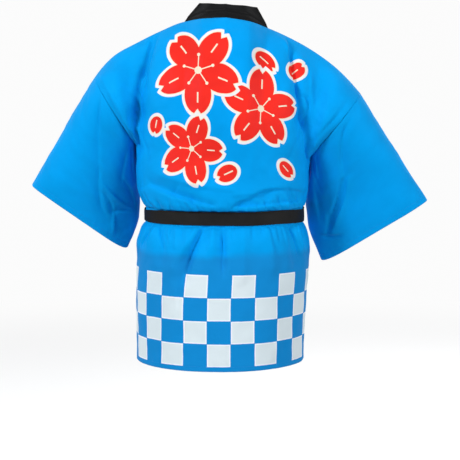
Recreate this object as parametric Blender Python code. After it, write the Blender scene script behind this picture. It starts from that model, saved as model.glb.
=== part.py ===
"""A happi coat as it is worn, closed by its belt, with nobody in it.

Every panel is worked out on its cut cloth: "across" runs sideways from the middle of
the coat and "drop" runs down from the shoulder. X is the wearer's left, the back of the
coat faces +Y, Z is up, and the origin is in the middle of the neck. Metres throughout.
"""

import bpy
import numpy as np

BODY_HALF = 0.33  # middle of the body to the armhole
BODY_LENGTH = 0.80
PIT_DROP = 0.30  # how far down the armhole goes
NECK_HALF = 0.095
SLEEVE_LENGTH = 0.285
COLLAR_WIDTH = 0.050
BELT_WIDTH = 0.030
WALL = 0.0016
SEAM_GAP = 0.0005
WRAP_LIFT = 0.0045  # how far the upper front lies outside the lower one

# The body below the armholes, a row for each level.
RING_COLUMNS = (
    "drop",
    "height",
    "centre",
    "half",
    "back",
    "front",
    "tilt",
    "seam",
    "power",  # 2 is an ellipse, more is squarer
    "sag",  # how much lower the middle of the back hangs
)
RINGS = (
    (0.300, -0.2890, 0.0045, 0.1915, 0.1270, 0.1205, 0.080, 0.285, 2.35, 0.0000),
    (0.345, -0.3330, 0.0060, 0.1935, 0.1275, 0.1210, 0.050, 0.295, 2.35, 0.0010),
    (0.385, -0.3710, 0.0060, 0.1915, 0.1315, 0.1240, 0.030, 0.303, 2.35, 0.0025),
    (0.408, -0.3925, 0.0030, 0.1860, 0.1335, 0.1260, 0.012, 0.308, 2.35, 0.0037),
    (0.420, -0.4035, 0.0015, 0.1815, 0.1275, 0.1215, 0.002, 0.310, 2.35, 0.0044),
    (0.430, -0.4090, 0.0015, 0.1765, 0.1150, 0.1150, 0.000, 0.312, 2.35, 0.0000),
    (0.445, -0.4253, 0.0020, 0.1765, 0.1150, 0.1150, 0.000, 0.312, 2.35, 0.0000),
    (0.460, -0.4422, 0.0025, 0.1765, 0.1150, 0.1150, 0.000, 0.312, 2.35, 0.0000),
    (0.470, -0.4492, 0.0030, 0.1805, 0.1230, 0.1195, 0.002, 0.314, 2.30, 0.0000),
    (0.485, -0.4628, 0.0035, 0.1865, 0.1315, 0.1245, 0.006, 0.315, 2.24, 0.0000),
    (0.515, -0.4898, 0.0035, 0.1930, 0.1400, 0.1300, 0.010, 0.316, 2.15, 0.0000),
    (0.560, -0.5355, 0.0045, 0.1960, 0.1470, 0.1330, 0.008, 0.317, 2.08, 0.0000),
    (0.640, -0.6110, 0.0085, 0.1945, 0.1540, 0.1360, 0.004, 0.317, 2.05, 0.0000),
    (0.720, -0.6885, 0.0100, 0.1920, 0.1570, 0.1390, 0.000, 0.317, 2.05, 0.0000),
    (0.800, -0.7558, 0.0110, 0.1905, 0.1600, 0.1410, 0.000, 0.317, 2.05, 0.0000),
)


# The top edge of the body, over the shoulders and round the neck.
RIDGE_COLUMNS = (
    "across",
    "left_x",
    "left_z",
    "right_x",
    "right_z",
    "back_y",
    "front_y",
)
RIDGE = (
    (0.000, -0.002, 0.0095, -0.002, 0.0095, 0.060, -0.024),
    (0.050, 0.047, 0.0075, -0.051, 0.0020, 0.050, -0.018),
    (0.095, 0.091, 0.0015, -0.096, -0.0125, 0.004, 0.0),
    (0.150, 0.146, -0.0200, -0.149, -0.0360, 0.0, 0.0),
    (0.200, 0.195, -0.0440, -0.197, -0.0630, 0.0, 0.0),
    (0.250, 0.243, -0.0700, -0.243, -0.0960, 0.0, 0.0),
    (0.290, 0.273, -0.0980, -0.275, -0.1260, 0.0, 0.0),
    (0.330, 0.290, -0.1200, -0.3015, -0.1555, 0.0, 0.0),
)

# How far the cloth rounds out between the shoulder and the armhole's level.
BULGE_COLUMNS = ("across", "back", "front")
BULGE = (
    (0.000, 0.033, 0.032),
    (0.060, 0.042, 0.037),
    (0.120, 0.053, 0.043),
    (0.170, 0.047, 0.038),
    (0.215, 0.034, 0.028),
    (0.270, 0.070, 0.060),
    (0.330, 0.085, 0.080),
)

# The lowest point of each armhole.
PIT = {1: (0.1995, -0.030, -0.2690), -1: (-0.1900, -0.030, -0.2950)}

# Each sleeve from the armhole to the cuff: its upper and lower lines and its depth.
SLEEVE_COLUMNS = (
    "along",
    "top_x",
    "top_y",
    "top_z",
    "low_x",
    "low_y",
    "low_z",
    "back",
    "front",
    "taper",
)
SLEEVES = {
    1: (
        (0.00, 0.2900, 0.000, -0.1200, 0.2020, -0.030, -0.2690, 0.085, 0.080, 0.00),
        (0.35, 0.3440, -0.006, -0.2060, 0.1965, -0.064, -0.3560, 0.076, 0.070, 0.25),
        (0.70, 0.3940, -0.018, -0.2890, 0.1985, -0.074, -0.4350, 0.058, 0.054, 0.40),
        (1.00, 0.4395, -0.030, -0.3634, 0.2255, -0.078, -0.5040, 0.044, 0.042, 0.45),
    ),
    -1: (
        (0.00, -0.3015, 0.000, -0.1555, -0.1925, -0.030, -0.2950, 0.085, 0.080, 0.00),
        (0.35, -0.3570, -0.006, -0.2440, -0.1850, -0.064, -0.3780, 0.076, 0.070, 0.25),
        (0.70, -0.4100, -0.018, -0.3240, -0.1920, -0.074, -0.4540, 0.058, 0.054, 0.40),
        (1.00, -0.4598, -0.030, -0.3981, -0.2210, -0.078, -0.5330, 0.044, 0.042, 0.45),
    ),
}

# Where each front ends, beside its collar: metres from the middle, minus is past it.
EDGE_COLUMNS = ("drop", "edge", "inward", "lift")
EDGE = (
    (0.000, 0.095, 0.034, 0.040),
    (0.040, 0.083, 0.040, 0.026),
    (0.090, 0.062, 0.046, 0.012),
    (0.140, 0.038, 0.050, 0.004),
    (0.200, 0.008, 0.050, 0.000),
    (0.300, -0.036, 0.050, 0.000),
    (0.400, -0.068, 0.050, 0.000),
    (0.460, -0.076, 0.050, 0.000),
    (0.600, -0.080, 0.050, 0.000),
    (0.800, -0.082, 0.050, 0.000),
)

# The largest folds as they lie from behind or in front: minus is a trough.
FOLD_COLUMNS = ("x0", "z0", "x1", "z1", "width", "height")
BACK_FOLDS = (
    (0.154, -0.030, 0.170, -0.075, 0.013, -0.0050),
    (0.176, -0.080, 0.192, -0.200, 0.014, -0.0080),
    (0.192, -0.200, 0.196, -0.270, 0.014, -0.0060),
    (-0.125, -0.035, -0.158, -0.080, 0.016, 0.0050),
    (-0.150, -0.075, -0.168, -0.210, 0.014, -0.0080),
    (-0.168, -0.210, -0.180, -0.280, 0.014, -0.0050),
    (-0.170, -0.378, -0.090, -0.376, 0.012, -0.0045),
    (-0.090, -0.376, -0.040, -0.398, 0.012, -0.0045),
    (0.046, -0.456, 0.084, -0.512, 0.013, -0.0075),
    (0.084, -0.512, 0.094, -0.550, 0.014, -0.0050),
    (0.070, -0.456, 0.112, -0.530, 0.016, 0.0040),
    (0.010, -0.456, 0.006, -0.520, 0.012, -0.0060),
    (-0.030, -0.456, -0.034, -0.540, 0.018, 0.0035),
    (-0.100, -0.456, -0.104, -0.530, 0.014, 0.0045),
    (-0.142, -0.456, -0.160, -0.525, 0.013, -0.0080),
    (0.142, -0.456, 0.142, -0.512, 0.012, -0.0040),
)
FRONT_FOLDS = (
    (0.158, -0.045, 0.178, -0.130, 0.015, -0.0050),
    (0.176, -0.130, 0.190, -0.250, 0.015, -0.0070),
    (-0.150, -0.070, -0.172, -0.170, 0.015, -0.0060),
    (-0.172, -0.170, -0.182, -0.270, 0.014, -0.0060),
    (0.120, -0.300, 0.080, -0.385, 0.018, -0.0045),
    (-0.125, -0.310, -0.090, -0.392, 0.018, -0.0040),
    (0.110, -0.458, 0.124, -0.560, 0.015, -0.0065),
    (0.060, -0.458, 0.066, -0.520, 0.014, 0.0040),
    (-0.118, -0.458, -0.132, -0.535, 0.014, -0.0060),
    (-0.072, -0.458, -0.078, -0.580, 0.016, 0.0040),
)


def through(xs, ys, x):
    """A smooth line through a table's points that never swings past them, read at x."""
    xs, ys = np.asarray(xs, float), np.asarray(ys, float)
    step = np.diff(xs)
    rise = np.diff(ys) / step
    slope = np.empty(len(xs))
    slope[0], slope[-1] = rise[0], rise[-1]
    before, after = rise[:-1], rise[1:]
    same = before * after > 0
    total = np.where(same, before + after, 1.0)
    slope[1:-1] = np.where(same, 2 * before * after / total, 0.0)
    x = np.clip(x, xs[0], xs[-1])
    i = np.clip(np.searchsorted(xs, x, side="right") - 1, 0, len(xs) - 2)
    h = step[i]
    t = (x - xs[i]) / h
    start = (1 + 2 * t) * (1 - t) ** 2 * ys[i] + t * (1 - t) ** 2 * h * slope[i]
    end = t * t * (3 - 2 * t) * ys[i + 1] + t * t * (t - 1) * h * slope[i + 1]
    return start + end


def read(table, columns, name, x):
    """One named column of a table, read at x of its first column."""
    rows = np.array(table, float)
    return through(rows[:, 0], rows[:, columns.index(name)], x)


def ease(low, high, x):
    t = np.clip((np.asarray(x, float) - low) / (high - low), 0, 1)
    return t * t * (3 - 2 * t)


def ring(drop, share):
    """Points of the body's ring at this drop. The share of its length runs from the
    middle of the back, and plus goes to the wearer's left."""
    height, centre, half, back, front, tilt = (
        float(read(RINGS, RING_COLUMNS, name, drop)) for name in RING_COLUMNS[1:7]
    )
    power = 2 / float(read(RINGS, RING_COLUMNS, "power", drop))
    sag = float(read(RINGS, RING_COLUMNS, "sag", drop))
    turn = np.linspace(0, 2 * np.pi, 721)
    sine, cosine = np.sin(turn), np.cos(turn)
    x = half * np.sign(sine) * np.abs(sine) ** power
    depth = np.where(cosine > 0, back, front)
    y = depth * np.sign(cosine) * np.abs(cosine) ** power
    length = np.concatenate([[0], np.cumsum(np.hypot(np.diff(x), np.diff(y)))])
    at = np.mod(share, 1.0) * length[-1]
    px, py = np.interp(at, length, x), np.interp(at, length, y)
    pz = height + tilt * px - sag * np.maximum(py, 0.0) / back
    return np.stack([px + centre, py, pz], axis=-1)


def ring_length(drop):
    corners = ring(drop, np.linspace(0, 1, 361))
    return float(np.linalg.norm(np.diff(corners, axis=0), axis=1).sum())


def ring_share(side, drop, across):
    """Where a point of the back (side 1) or of the front (side -1) is on its ring."""
    seam = float(read(RINGS, RING_COLUMNS, "seam", drop))
    if side > 0:
        return seam * across / BODY_HALF
    return 0.5 - (0.5 - seam) * across / BODY_HALF


def pull_to_pit(side, points, across, amount):
    """Brings the body's corners under the arms to the armholes' lowest points."""
    corner = ring(PIT_DROP, ring_share(side, PIT_DROP, np.array([-BODY_HALF, BODY_HALF])))
    for arm, here in ((-1, corner[0]), (1, corner[1])):
        weight = ease(0.25, BODY_HALF, across * arm) * amount
        points = points + weight[:, None] * (np.array(PIT[arm]) - here)
    return points


def body(side, drop, across):
    """The smooth body: side 1 is the back and side -1 the fronts."""
    across = np.asarray(across, float)
    if drop >= PIT_DROP:
        points = ring(drop, ring_share(side, drop, across))
        fade = 1 - float(ease(0, 0.035, drop - PIT_DROP))
        return pull_to_pit(side, points, across, fade)
    end = ring(PIT_DROP, ring_share(side, PIT_DROP, across))
    end = pull_to_pit(side, end, across, 1.0)
    out = np.abs(across)
    left = across >= 0
    x = np.where(
        left,
        read(RIDGE, RIDGE_COLUMNS, "left_x", out),
        read(RIDGE, RIDGE_COLUMNS, "right_x", out),
    )
    z = np.where(
        left,
        read(RIDGE, RIDGE_COLUMNS, "left_z", out),
        read(RIDGE, RIDGE_COLUMNS, "right_z", out),
    )
    y = read(RIDGE, RIDGE_COLUMNS, "back_y" if side > 0 else "front_y", out)
    bulge = read(BULGE, BULGE_COLUMNS, "back" if side > 0 else "front", out)
    t = drop / PIT_DROP
    arm = ease(0.205, BODY_HALF, out)
    down = (1 - arm) * t + arm * (1 - np.cos(np.pi * t)) / 2
    swell = (1 - arm) * np.sin(np.pi * t**0.72) + arm * np.sin(np.pi * t)
    start = np.stack([x, y, z], axis=-1)
    points = start + (end - start) * down[:, None]
    points[:, 1] += side * bulge * swell
    return points


def folds(table, x, z):
    """How far the cloth is moved out by a table of folds."""
    moved = np.zeros(len(x))
    for x0, z0, x1, z1, width, height in table:
        dx, dz = x1 - x0, z1 - z0
        long = np.hypot(dx, dz)
        along = ((x - x0) * dx + (z - z0) * dz) / long
        aside = ((x - x0) * dz - (z - z0) * dx) / long
        past = np.maximum(0, np.maximum(-along, along - long))
        moved += height * np.exp(-((aside / width) ** 2) - (past / (1.3 * width)) ** 2)
    return moved


def edge_line(drop):
    """Where the fronts end, how far the collar goes on inwards, and how high it lifts."""
    return tuple(float(read(EDGE, EDGE_COLUMNS, name, drop)) for name in EDGE_COLUMNS[1:])


def front_scale(drop):
    """Metres on the worn body for each metre of 'across' on a front."""
    below = (0.5 - float(read(RINGS, RING_COLUMNS, "seam", max(drop, PIT_DROP)))) / BODY_HALF
    below *= ring_length(max(drop, PIT_DROP))
    return 1 + (below - 1) * min(drop / PIT_DROP, 1.0)


def wrap_lift(drop, across):
    """The left front's lift over the right one, which ends where its collar ends."""
    edge, inward, _ = edge_line(drop)
    end = (inward - edge) / front_scale(drop)
    return WRAP_LIFT * (1 - ease(end + 0.008, end + 0.062, across))


def cloth(side, drop, across, lifted=False, extra=0.0):
    """A panel's middle surface and its outward directions."""
    across = np.asarray(across, float)
    small = 0.0004
    low, high = max(drop - small, 0.0), min(drop + small, BODY_LENGTH)
    down = body(side, high, across) - body(side, low, across)
    over = body(side, drop, across + small) - body(side, drop, across - small)
    normal = np.cross(over, down) * side
    normal /= np.linalg.norm(normal, axis=1)[:, None]
    points = body(side, drop, across)
    table = BACK_FOLDS if side > 0 else FRONT_FOLDS
    moved = folds(table, points[:, 0], points[:, 2])
    moved *= ease(0.0, 0.05, side * points[:, 1])
    moved *= 1 - ease(0.27, 0.325, np.abs(across)) * (drop < PIT_DROP + 0.03)
    band = abs(drop - 0.445)
    moved *= np.where(moved < 0, ease(0.006, 0.018, band), ease(0.014, 0.026, band))
    if lifted:
        moved = moved + wrap_lift(drop, across)
    return points + normal * (moved + extra)[:, None], normal


def sleeve(arm, along, turn):
    """A sleeve's ring: the turn starts at the top line and goes over the back."""
    value = {
        name: float(read(SLEEVES[arm], SLEEVE_COLUMNS, name, along))
        for name in SLEEVE_COLUMNS[1:]
    }
    low = np.array([value["low_x"], value["low_y"], value["low_z"]])
    top = np.array([value["top_x"], value["top_y"], value["top_z"]])
    sine, cosine = np.sin(turn), np.cos(turn)
    up = (1 + cosine) / 2
    depth = np.where(sine > 0, value["back"], value["front"])
    points = low + (top - low) * up[:, None]
    points[:, 1] += depth * sine * (1 + value["taper"] * cosine)
    points[:, 2] -= 0.006 * (1 - up) * np.abs(sine) * along
    slack = (1 - up) ** 2.5 * np.sqrt(np.abs(sine)) * np.where(sine > 0, 1.0, 0.6)
    points[:, 2] -= 0.022 * slack * float(ease(0.55, 1.0, along))
    return points


def sleeve_cloth(arm, along, turn):
    small = 0.0005
    low, high = max(along - small, 0.0), min(along + small, 1.0)
    down = sleeve(arm, high, turn) - sleeve(arm, low, turn)
    over = sleeve(arm, along, turn + small) - sleeve(arm, along, turn - small)
    normal = np.cross(down, over) * arm
    normal /= np.linalg.norm(normal, axis=1)[:, None]
    points = sleeve(arm, along, turn)
    ripple = 0.0035 * np.sin(2.2 * turn + 5 * along + arm) * ease(0.1, 0.5, along)
    ripple = ripple * np.abs(np.sin(turn)) * (1 - ease(0.8, 1.0, along))
    return points + normal * ripple[:, None], normal


def thick(name, points, normals, wall, material, round_it=False):
    """A closed wall on a grid of points, half of it on each side."""
    rows, columns = points.shape[:2]
    outer = (points + normals * wall / 2).reshape(-1, 3)
    inner = (points - normals * wall / 2).reshape(-1, 3)
    count = rows * columns
    faces = []
    last = columns if round_it else columns - 1
    for i in range(rows - 1):
        for j in range(last):
            k = (j + 1) % columns
            a, b = i * columns + j, i * columns + k
            c, d = a + columns, b + columns
            faces.append((a, c, d, b))
            faces.append((a + count, b + count, d + count, c + count))
    for j in range(last):
        k = (j + 1) % columns
        faces.append((j, k, k + count, j + count))
        a, b = (rows - 1) * columns + j, (rows - 1) * columns + k
        faces.append((a, a + count, b + count, b))
    if not round_it:
        for i in range(rows - 1):
            a, b = i * columns, (i + 1) * columns
            faces.append((a, a + count, b + count, b))
            a, b = a + columns - 1, b + columns - 1
            faces.append((a, b, b + count, a + count))
    return solid(name, np.concatenate([outer, inner]), faces, material)


def solid(name, vertices, faces, material):
    """A mesh object, with its faces turned outward."""
    volume = 0.0
    for face in faces:
        first = vertices[face[0]]
        for second, third in zip(face[1:-1], face[2:]):
            volume += np.dot(first, np.cross(vertices[second], vertices[third]))
    if volume < 0:
        faces = [face[::-1] for face in faces]
    mesh = bpy.data.meshes.new(name)
    mesh.from_pydata([tuple(float(v) for v in point) for point in vertices], [], faces)
    mesh.polygons.foreach_set("use_smooth", [True] * len(mesh.polygons))
    mesh.materials.append(material)
    mesh.update()
    made = bpy.data.objects.new(name, mesh)
    parts.objects.link(made)
    return made


def cloth_material(name, colour, roughness):
    material = bpy.data.materials.new(name)
    material.use_nodes = True
    shader = material.node_tree.nodes["Principled BSDF"]
    shader.inputs["Base Color"].default_value = (*colour, 1.0)
    shader.inputs["Roughness"].default_value = roughness
    return material


def drops():
    """The rows of the body's grid, closer at the shoulder and round the belt."""
    top = (0.0, 0.008, 0.022, 0.044, 0.074, 0.106, 0.138, 0.170, 0.202, 0.232, 0.260, 0.282)
    waist = (0.302, 0.325, 0.352, 0.378, 0.396, 0.410, 0.421, 0.430, 0.445, 0.460, 0.469)
    skirt = (0.480, 0.497, 0.520, 0.546, 0.580, 0.622, 0.666, 0.711, 0.756, 0.800)
    return top + waist + skirt


def across_stations(start, end, count):
    """Columns from start to end, a little closer together near the armholes."""
    even = np.linspace(-1, 1, count)
    spread = even - 0.06 * np.sin(np.pi * even)
    return start + (end - start) * (spread + 1) / 2


def make_back(material):
    points, normals = [], []
    for drop in drops():
        limit = BODY_HALF - SEAM_GAP * 0.7
        row, out = cloth(1, drop, across_stations(-limit, limit, 31))
        row[:, 1] += 0.8 * SEAM_GAP * (drop < PIT_DROP)
        points.append(row)
        normals.append(out)
    return thick("back", np.array(points), np.array(normals), WALL, material)


def make_front(name, arm, lifted, material):
    points, normals = [], []
    for drop in drops():
        edge, _, _ = edge_line(drop)
        inner = edge / front_scale(drop) + SEAM_GAP / 2
        across = np.linspace(inner, BODY_HALF - SEAM_GAP * 0.7, 13)
        if lifted:
            row, out = cloth(-1, drop, across, lifted=True)
        else:
            row, out = cloth(-1, drop, -across)
        row[:, 1] -= 0.8 * SEAM_GAP * (drop < PIT_DROP)
        points.append(row)
        normals.append(out)
    return thick(name, np.array(points), np.array(normals), WALL, material)


def make_sleeve(name, arm, material):
    turns = 2 * np.pi * np.arange(26) / 26
    turns = turns + 0.12 * np.sin(2 * turns)
    points, normals = [], []
    for along in (0.006, 0.06, 0.15, 0.27, 0.4, 0.53, 0.66, 0.79, 0.9, 1.0):
        row, out = sleeve_cloth(arm, along, turns)
        points.append(row)
        normals.append(out)
    return thick(name, np.array(points), np.array(normals), WALL, material, True)


def collar_rows():
    """The collar's sections from the left hem round the neck to the right hem."""
    levels = [d for d in drops()[::-1] if d > 0.03]
    levels += [0.030, 0.014]
    rows = [("left", drop) for drop in levels]
    rows += [("neck", across) for across in np.linspace(0.094, -0.094, 13)]
    rows += [("right", drop) for drop in levels[::-1]]
    return rows


def collar_section(kind, at, shares):
    """Points from the seam (share 0) to the free edge (share 1)."""
    if kind == "neck":
        seam = body(1, 0.0, np.array([at]))[0]
        out = abs(at) / NECK_HALF
        lean, rise = (0.36, 0.011) if at > 0 else (0.26, 0.016)
        inward = np.array([-lean * at, -0.032 + 0.022 * out**2, 0.029 + rise * out**2])
        seam = seam + np.array([0.0, 0.0, WALL / 2 + SEAM_GAP + 0.0006])
        points = seam + inward * shares[:, None]
        points[:, 1] += 0.003 * np.sin(np.pi * shares) * (1 - out**2)
        return points
    edge, inward, lift = edge_line(at)
    scale = front_scale(at)
    left = kind == "left"
    if not left:
        upright = 1 - float(ease(0.0, 0.09, at))
        inward -= 0.009 * upright
        lift += 0.006 * upright
    stations = (edge - SEAM_GAP - inward * shares) / scale
    if left:
        points, _ = cloth(-1, at, stations, lifted=True)
    else:
        points, _ = cloth(-1, at, -stations)
    points[:, 1] -= 0.8 * SEAM_GAP * (at < PIT_DROP)
    points[:, 2] += lift * shares
    stand = 1 - float(ease(0.0, 0.09, at))
    points[:, 2] += (WALL / 2 + SEAM_GAP) * stand
    return points


def make_collar(material):
    shares = np.linspace(0, 1, 4)
    points = np.array([collar_section(kind, at, shares) for kind, at in collar_rows()])
    along = np.gradient(points, axis=0)
    aside = np.gradient(points, axis=1)
    normals = np.cross(aside, along)
    normals /= np.linalg.norm(normals, axis=2)[:, :, None]
    return thick("collar", points, normals, WALL, material)


def belt_path(share, height, out):
    """A point of the belt: outside both fronts where they lie over each other."""
    points = ring(0.445, share)
    near = ring(0.445, share + 0.002) - ring(0.445, share - 0.002)
    normal = np.stack([-near[:, 1], near[:, 0], np.zeros(len(near))], axis=1)
    normal /= np.linalg.norm(normal, axis=1)[:, None]
    if np.dot(normal[0], points[0]) < 0:
        normal = -normal
    seam = float(read(RINGS, RING_COLUMNS, "seam", 0.445))
    across = (0.5 - np.mod(share, 1.0)) * BODY_HALF / (0.5 - seam)
    edge, inward, _ = edge_line(0.445)
    left_end = (inward - edge) / front_scale(0.445)
    both = (1 - ease(left_end + 0.008, left_end + 0.062, across)) * ease(
        -left_end - 0.07, -left_end - 0.012, across
    )
    front = (np.mod(share, 1.0) > seam) & (np.mod(share, 1.0) < 1 - seam)
    lift = out + (WRAP_LIFT + 0.0003) * np.where(front, both, 0.0)
    lift = lift + 0.0008 * np.abs(np.sin(2 * np.pi * share)) ** 4
    points = points + normal * lift[:, None]
    curl = np.exp(-(((np.mod(share, 1.0) - 0.235) / 0.05) ** 2))
    points[:, 2] += height * (1 - 0.2 * curl) - 0.0015 * curl
    return points, normal


def make_belt(material):
    share = np.arange(80) / 80
    rows, normals = [], []
    for height in (-BELT_WIDTH / 2, BELT_WIDTH / 2):
        points, out = belt_path(share, height, WALL + 0.0008)
        rows.append(points)
        normals.append(out)
    return thick("belt", np.array(rows), np.array(normals), WALL, material, True)


KNOT_CENTRE = (0.006, 0.0, -0.4255)


def make_knot(material):
    """The knot is one pull of the belt wrapped over the band: a soft upright cushion."""
    front = float(belt_path(np.array([0.5]), 0.0, WALL * 1.5 + 0.0008)[0][0, 1])
    turns = 2 * np.pi * np.arange(20) / 20
    vertices, faces = [], []
    levels = np.linspace(-1, 1, 9)
    for level in levels:
        swell = (1 - abs(level) ** 4) ** (1 / 4) if abs(level) < 1 else 0.0
        swell = max(swell, 0.55)
        for turn in turns:
            sine, cosine = np.sin(turn), np.cos(turn)
            x = 0.023 * swell * np.sign(cosine) * abs(cosine) ** 0.6
            y = 0.0095 * swell * np.sign(sine) * abs(sine) ** 0.6
            groove = 0.0022 * np.exp(-(((x - 0.010 * level) / 0.004) ** 2)) * (y < 0)
            vertices.append(
                (
                    KNOT_CENTRE[0] + x + 0.003 * level,
                    front - 0.0095 - SEAM_GAP + y + groove,
                    KNOT_CENTRE[2] + 0.0195 * level,
                )
            )
    for i in range(len(levels) - 1):
        for j in range(20):
            k = (j + 1) % 20
            faces.append((i * 20 + j, i * 20 + k, (i + 1) * 20 + k, (i + 1) * 20 + j))
    faces.append(tuple(range(19, -1, -1)))
    faces.append(tuple((len(levels) - 1) * 20 + j for j in range(20)))
    return solid("belt_knot", np.array(vertices), faces, material)


def make_end(name, sign, length, material):
    """One end of the belt, hanging from under the knot over the skirt's front."""
    points = []
    top = KNOT_CENTRE[2] - 0.0195 - 0.0014
    for t in np.linspace(0, 1, 9):
        z = top - length * t
        x = KNOT_CENTRE[0] + sign * (0.003 + 0.040 * t**0.8)
        drop = 0.458 + (-z - 0.4405) * 1.04
        share = np.array([0.5])
        front = -float(ring(drop, share)[0, 1])
        clear = 0.0140 - 0.003 * ease(0.0, 0.3, t) + 0.003 * t * np.sin(4 * t + sign)
        y = -(front + WRAP_LIFT + clear + (0.0025 if sign > 0 else 0.0))
        wide = 0.0085 + 0.0065 * float(ease(0.0, 0.35, t))
        lean = 0.10 * sign
        row = [
            (x + side * wide, y + 0.0012 * side * sign - 0.002 * (1 - side * side), z - side * wide * lean)
            for side in (-1.0, -0.33, 0.33, 1.0)
        ]
        points.append(row)
    points = np.array(points)
    along = np.gradient(points, axis=0)
    aside = np.gradient(points, axis=1)
    normals = np.cross(aside, along)
    normals /= np.linalg.norm(normals, axis=2)[:, :, None]
    return thick(name, points, normals, WALL, material)


for old in list(bpy.data.objects):
    bpy.data.objects.remove(old, do_unlink=True)
parts = bpy.data.collections.new("happi_coat")
bpy.context.scene.collection.children.link(parts)

blue = cloth_material("blue_cloth", (0.015, 0.32, 0.78), 0.5)
sleeve_blue = cloth_material("sleeve_cloth", (0.02, 0.34, 0.80), 0.5)
black = cloth_material("collar_cloth", (0.012, 0.012, 0.012), 0.55)
belt_black = cloth_material("belt_cloth", (0.015, 0.015, 0.014), 0.6)

make_back(blue)
make_front("front_left", 1, True, blue)
make_front("front_right", -1, False, blue)
make_sleeve("sleeve_left", 1, sleeve_blue)
make_sleeve("sleeve_right", -1, sleeve_blue)
make_collar(black)
make_belt(belt_black)
make_knot(belt_black)
make_end("belt_end_left", 1, 0.150, belt_black)
make_end("belt_end_right", -1, 0.135, belt_black)
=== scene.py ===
"""The looks of an empty happi coat in its worn, belted shape.

Every panel is repeated from the same values as its solid, on a finer grid, and gets
the creases, hems, seams and stitching of sewn polyester. "u" runs across the flat
cloth from the middle and "d" runs down from the shoulder. Metres throughout.
"""

import bpy
import numpy as np
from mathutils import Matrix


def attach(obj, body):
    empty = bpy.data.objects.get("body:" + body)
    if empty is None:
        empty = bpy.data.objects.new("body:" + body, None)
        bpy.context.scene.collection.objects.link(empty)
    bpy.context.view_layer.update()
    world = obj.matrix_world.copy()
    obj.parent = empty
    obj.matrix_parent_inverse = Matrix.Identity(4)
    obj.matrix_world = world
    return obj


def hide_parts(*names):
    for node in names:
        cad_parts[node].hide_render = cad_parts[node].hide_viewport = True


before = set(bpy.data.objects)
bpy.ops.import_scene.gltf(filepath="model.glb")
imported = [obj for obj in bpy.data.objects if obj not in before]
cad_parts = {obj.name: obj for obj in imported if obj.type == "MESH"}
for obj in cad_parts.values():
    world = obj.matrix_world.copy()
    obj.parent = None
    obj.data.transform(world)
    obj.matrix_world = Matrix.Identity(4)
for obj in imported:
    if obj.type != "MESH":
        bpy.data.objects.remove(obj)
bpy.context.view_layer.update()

# The view is from behind and a little above, from some three metres away.
camera_data = bpy.data.cameras.new("camera")
camera = bpy.data.objects.new("camera", camera_data)
bpy.context.scene.collection.objects.link(camera)
camera.location = (-0.011, 3.077, -0.086)
camera.rotation_euler = (1.5708 - 0.12224, 0.0, 3.14159265)
camera_data.sensor_width = 36.0
camera_data.lens = 107.2
camera_data.clip_end = 100.0
bpy.context.scene.camera = camera

CLOTH = 0.0006  # how thick the cloth is
HEM = 0.014  # how deep a hem is turned in
STITCHED = 0.013  # how far its stitching is from the edge
CREASE_DEPTH = 1.35  # times the depth that a crease's row gives
SEAM_SPACE = 0.00012  # from a panel's edge to its seam's middle
TOP_SPACE = 0.00015  # from a panel's top edge to the shoulder seam's middle
EDGE_STRIP = 0.00015  # the last strip of a sewn edge's grid, which shades apart
FOLD_ROUND = 0.0012  # how far from its edge a folded edge rounds off
# How far from a hem's edge the last rows of its grid are.
HEM_ROWS = np.array([0.0162, 0.0145, 0.013, 0.0115, 0.008, 0.004, 0.0015, 0.0])
SLEEVE_ROUND = 0.56  # round a sleeve, laid flat

BODY_HALF = 0.33  # middle of the body to the armhole
BODY_LENGTH = 0.80
PIT_DROP = 0.30  # how far down the armhole goes
NECK_HALF = 0.095
SLEEVE_LENGTH = 0.285
COLLAR_WIDTH = 0.050
BELT_WIDTH = 0.030
WALL = 0.0016
SEAM_GAP = 0.0005
BELT_DROP = 0.445  # level of the belt's middle
BELT_MIDDLE = 0.0024  # from the body's middle surface out to the belt's
BELT_FACE = 0.0032  # and to the belt's outer face
WRAP_LIFT = 0.0045  # how far the upper front lies outside the lower one

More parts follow.
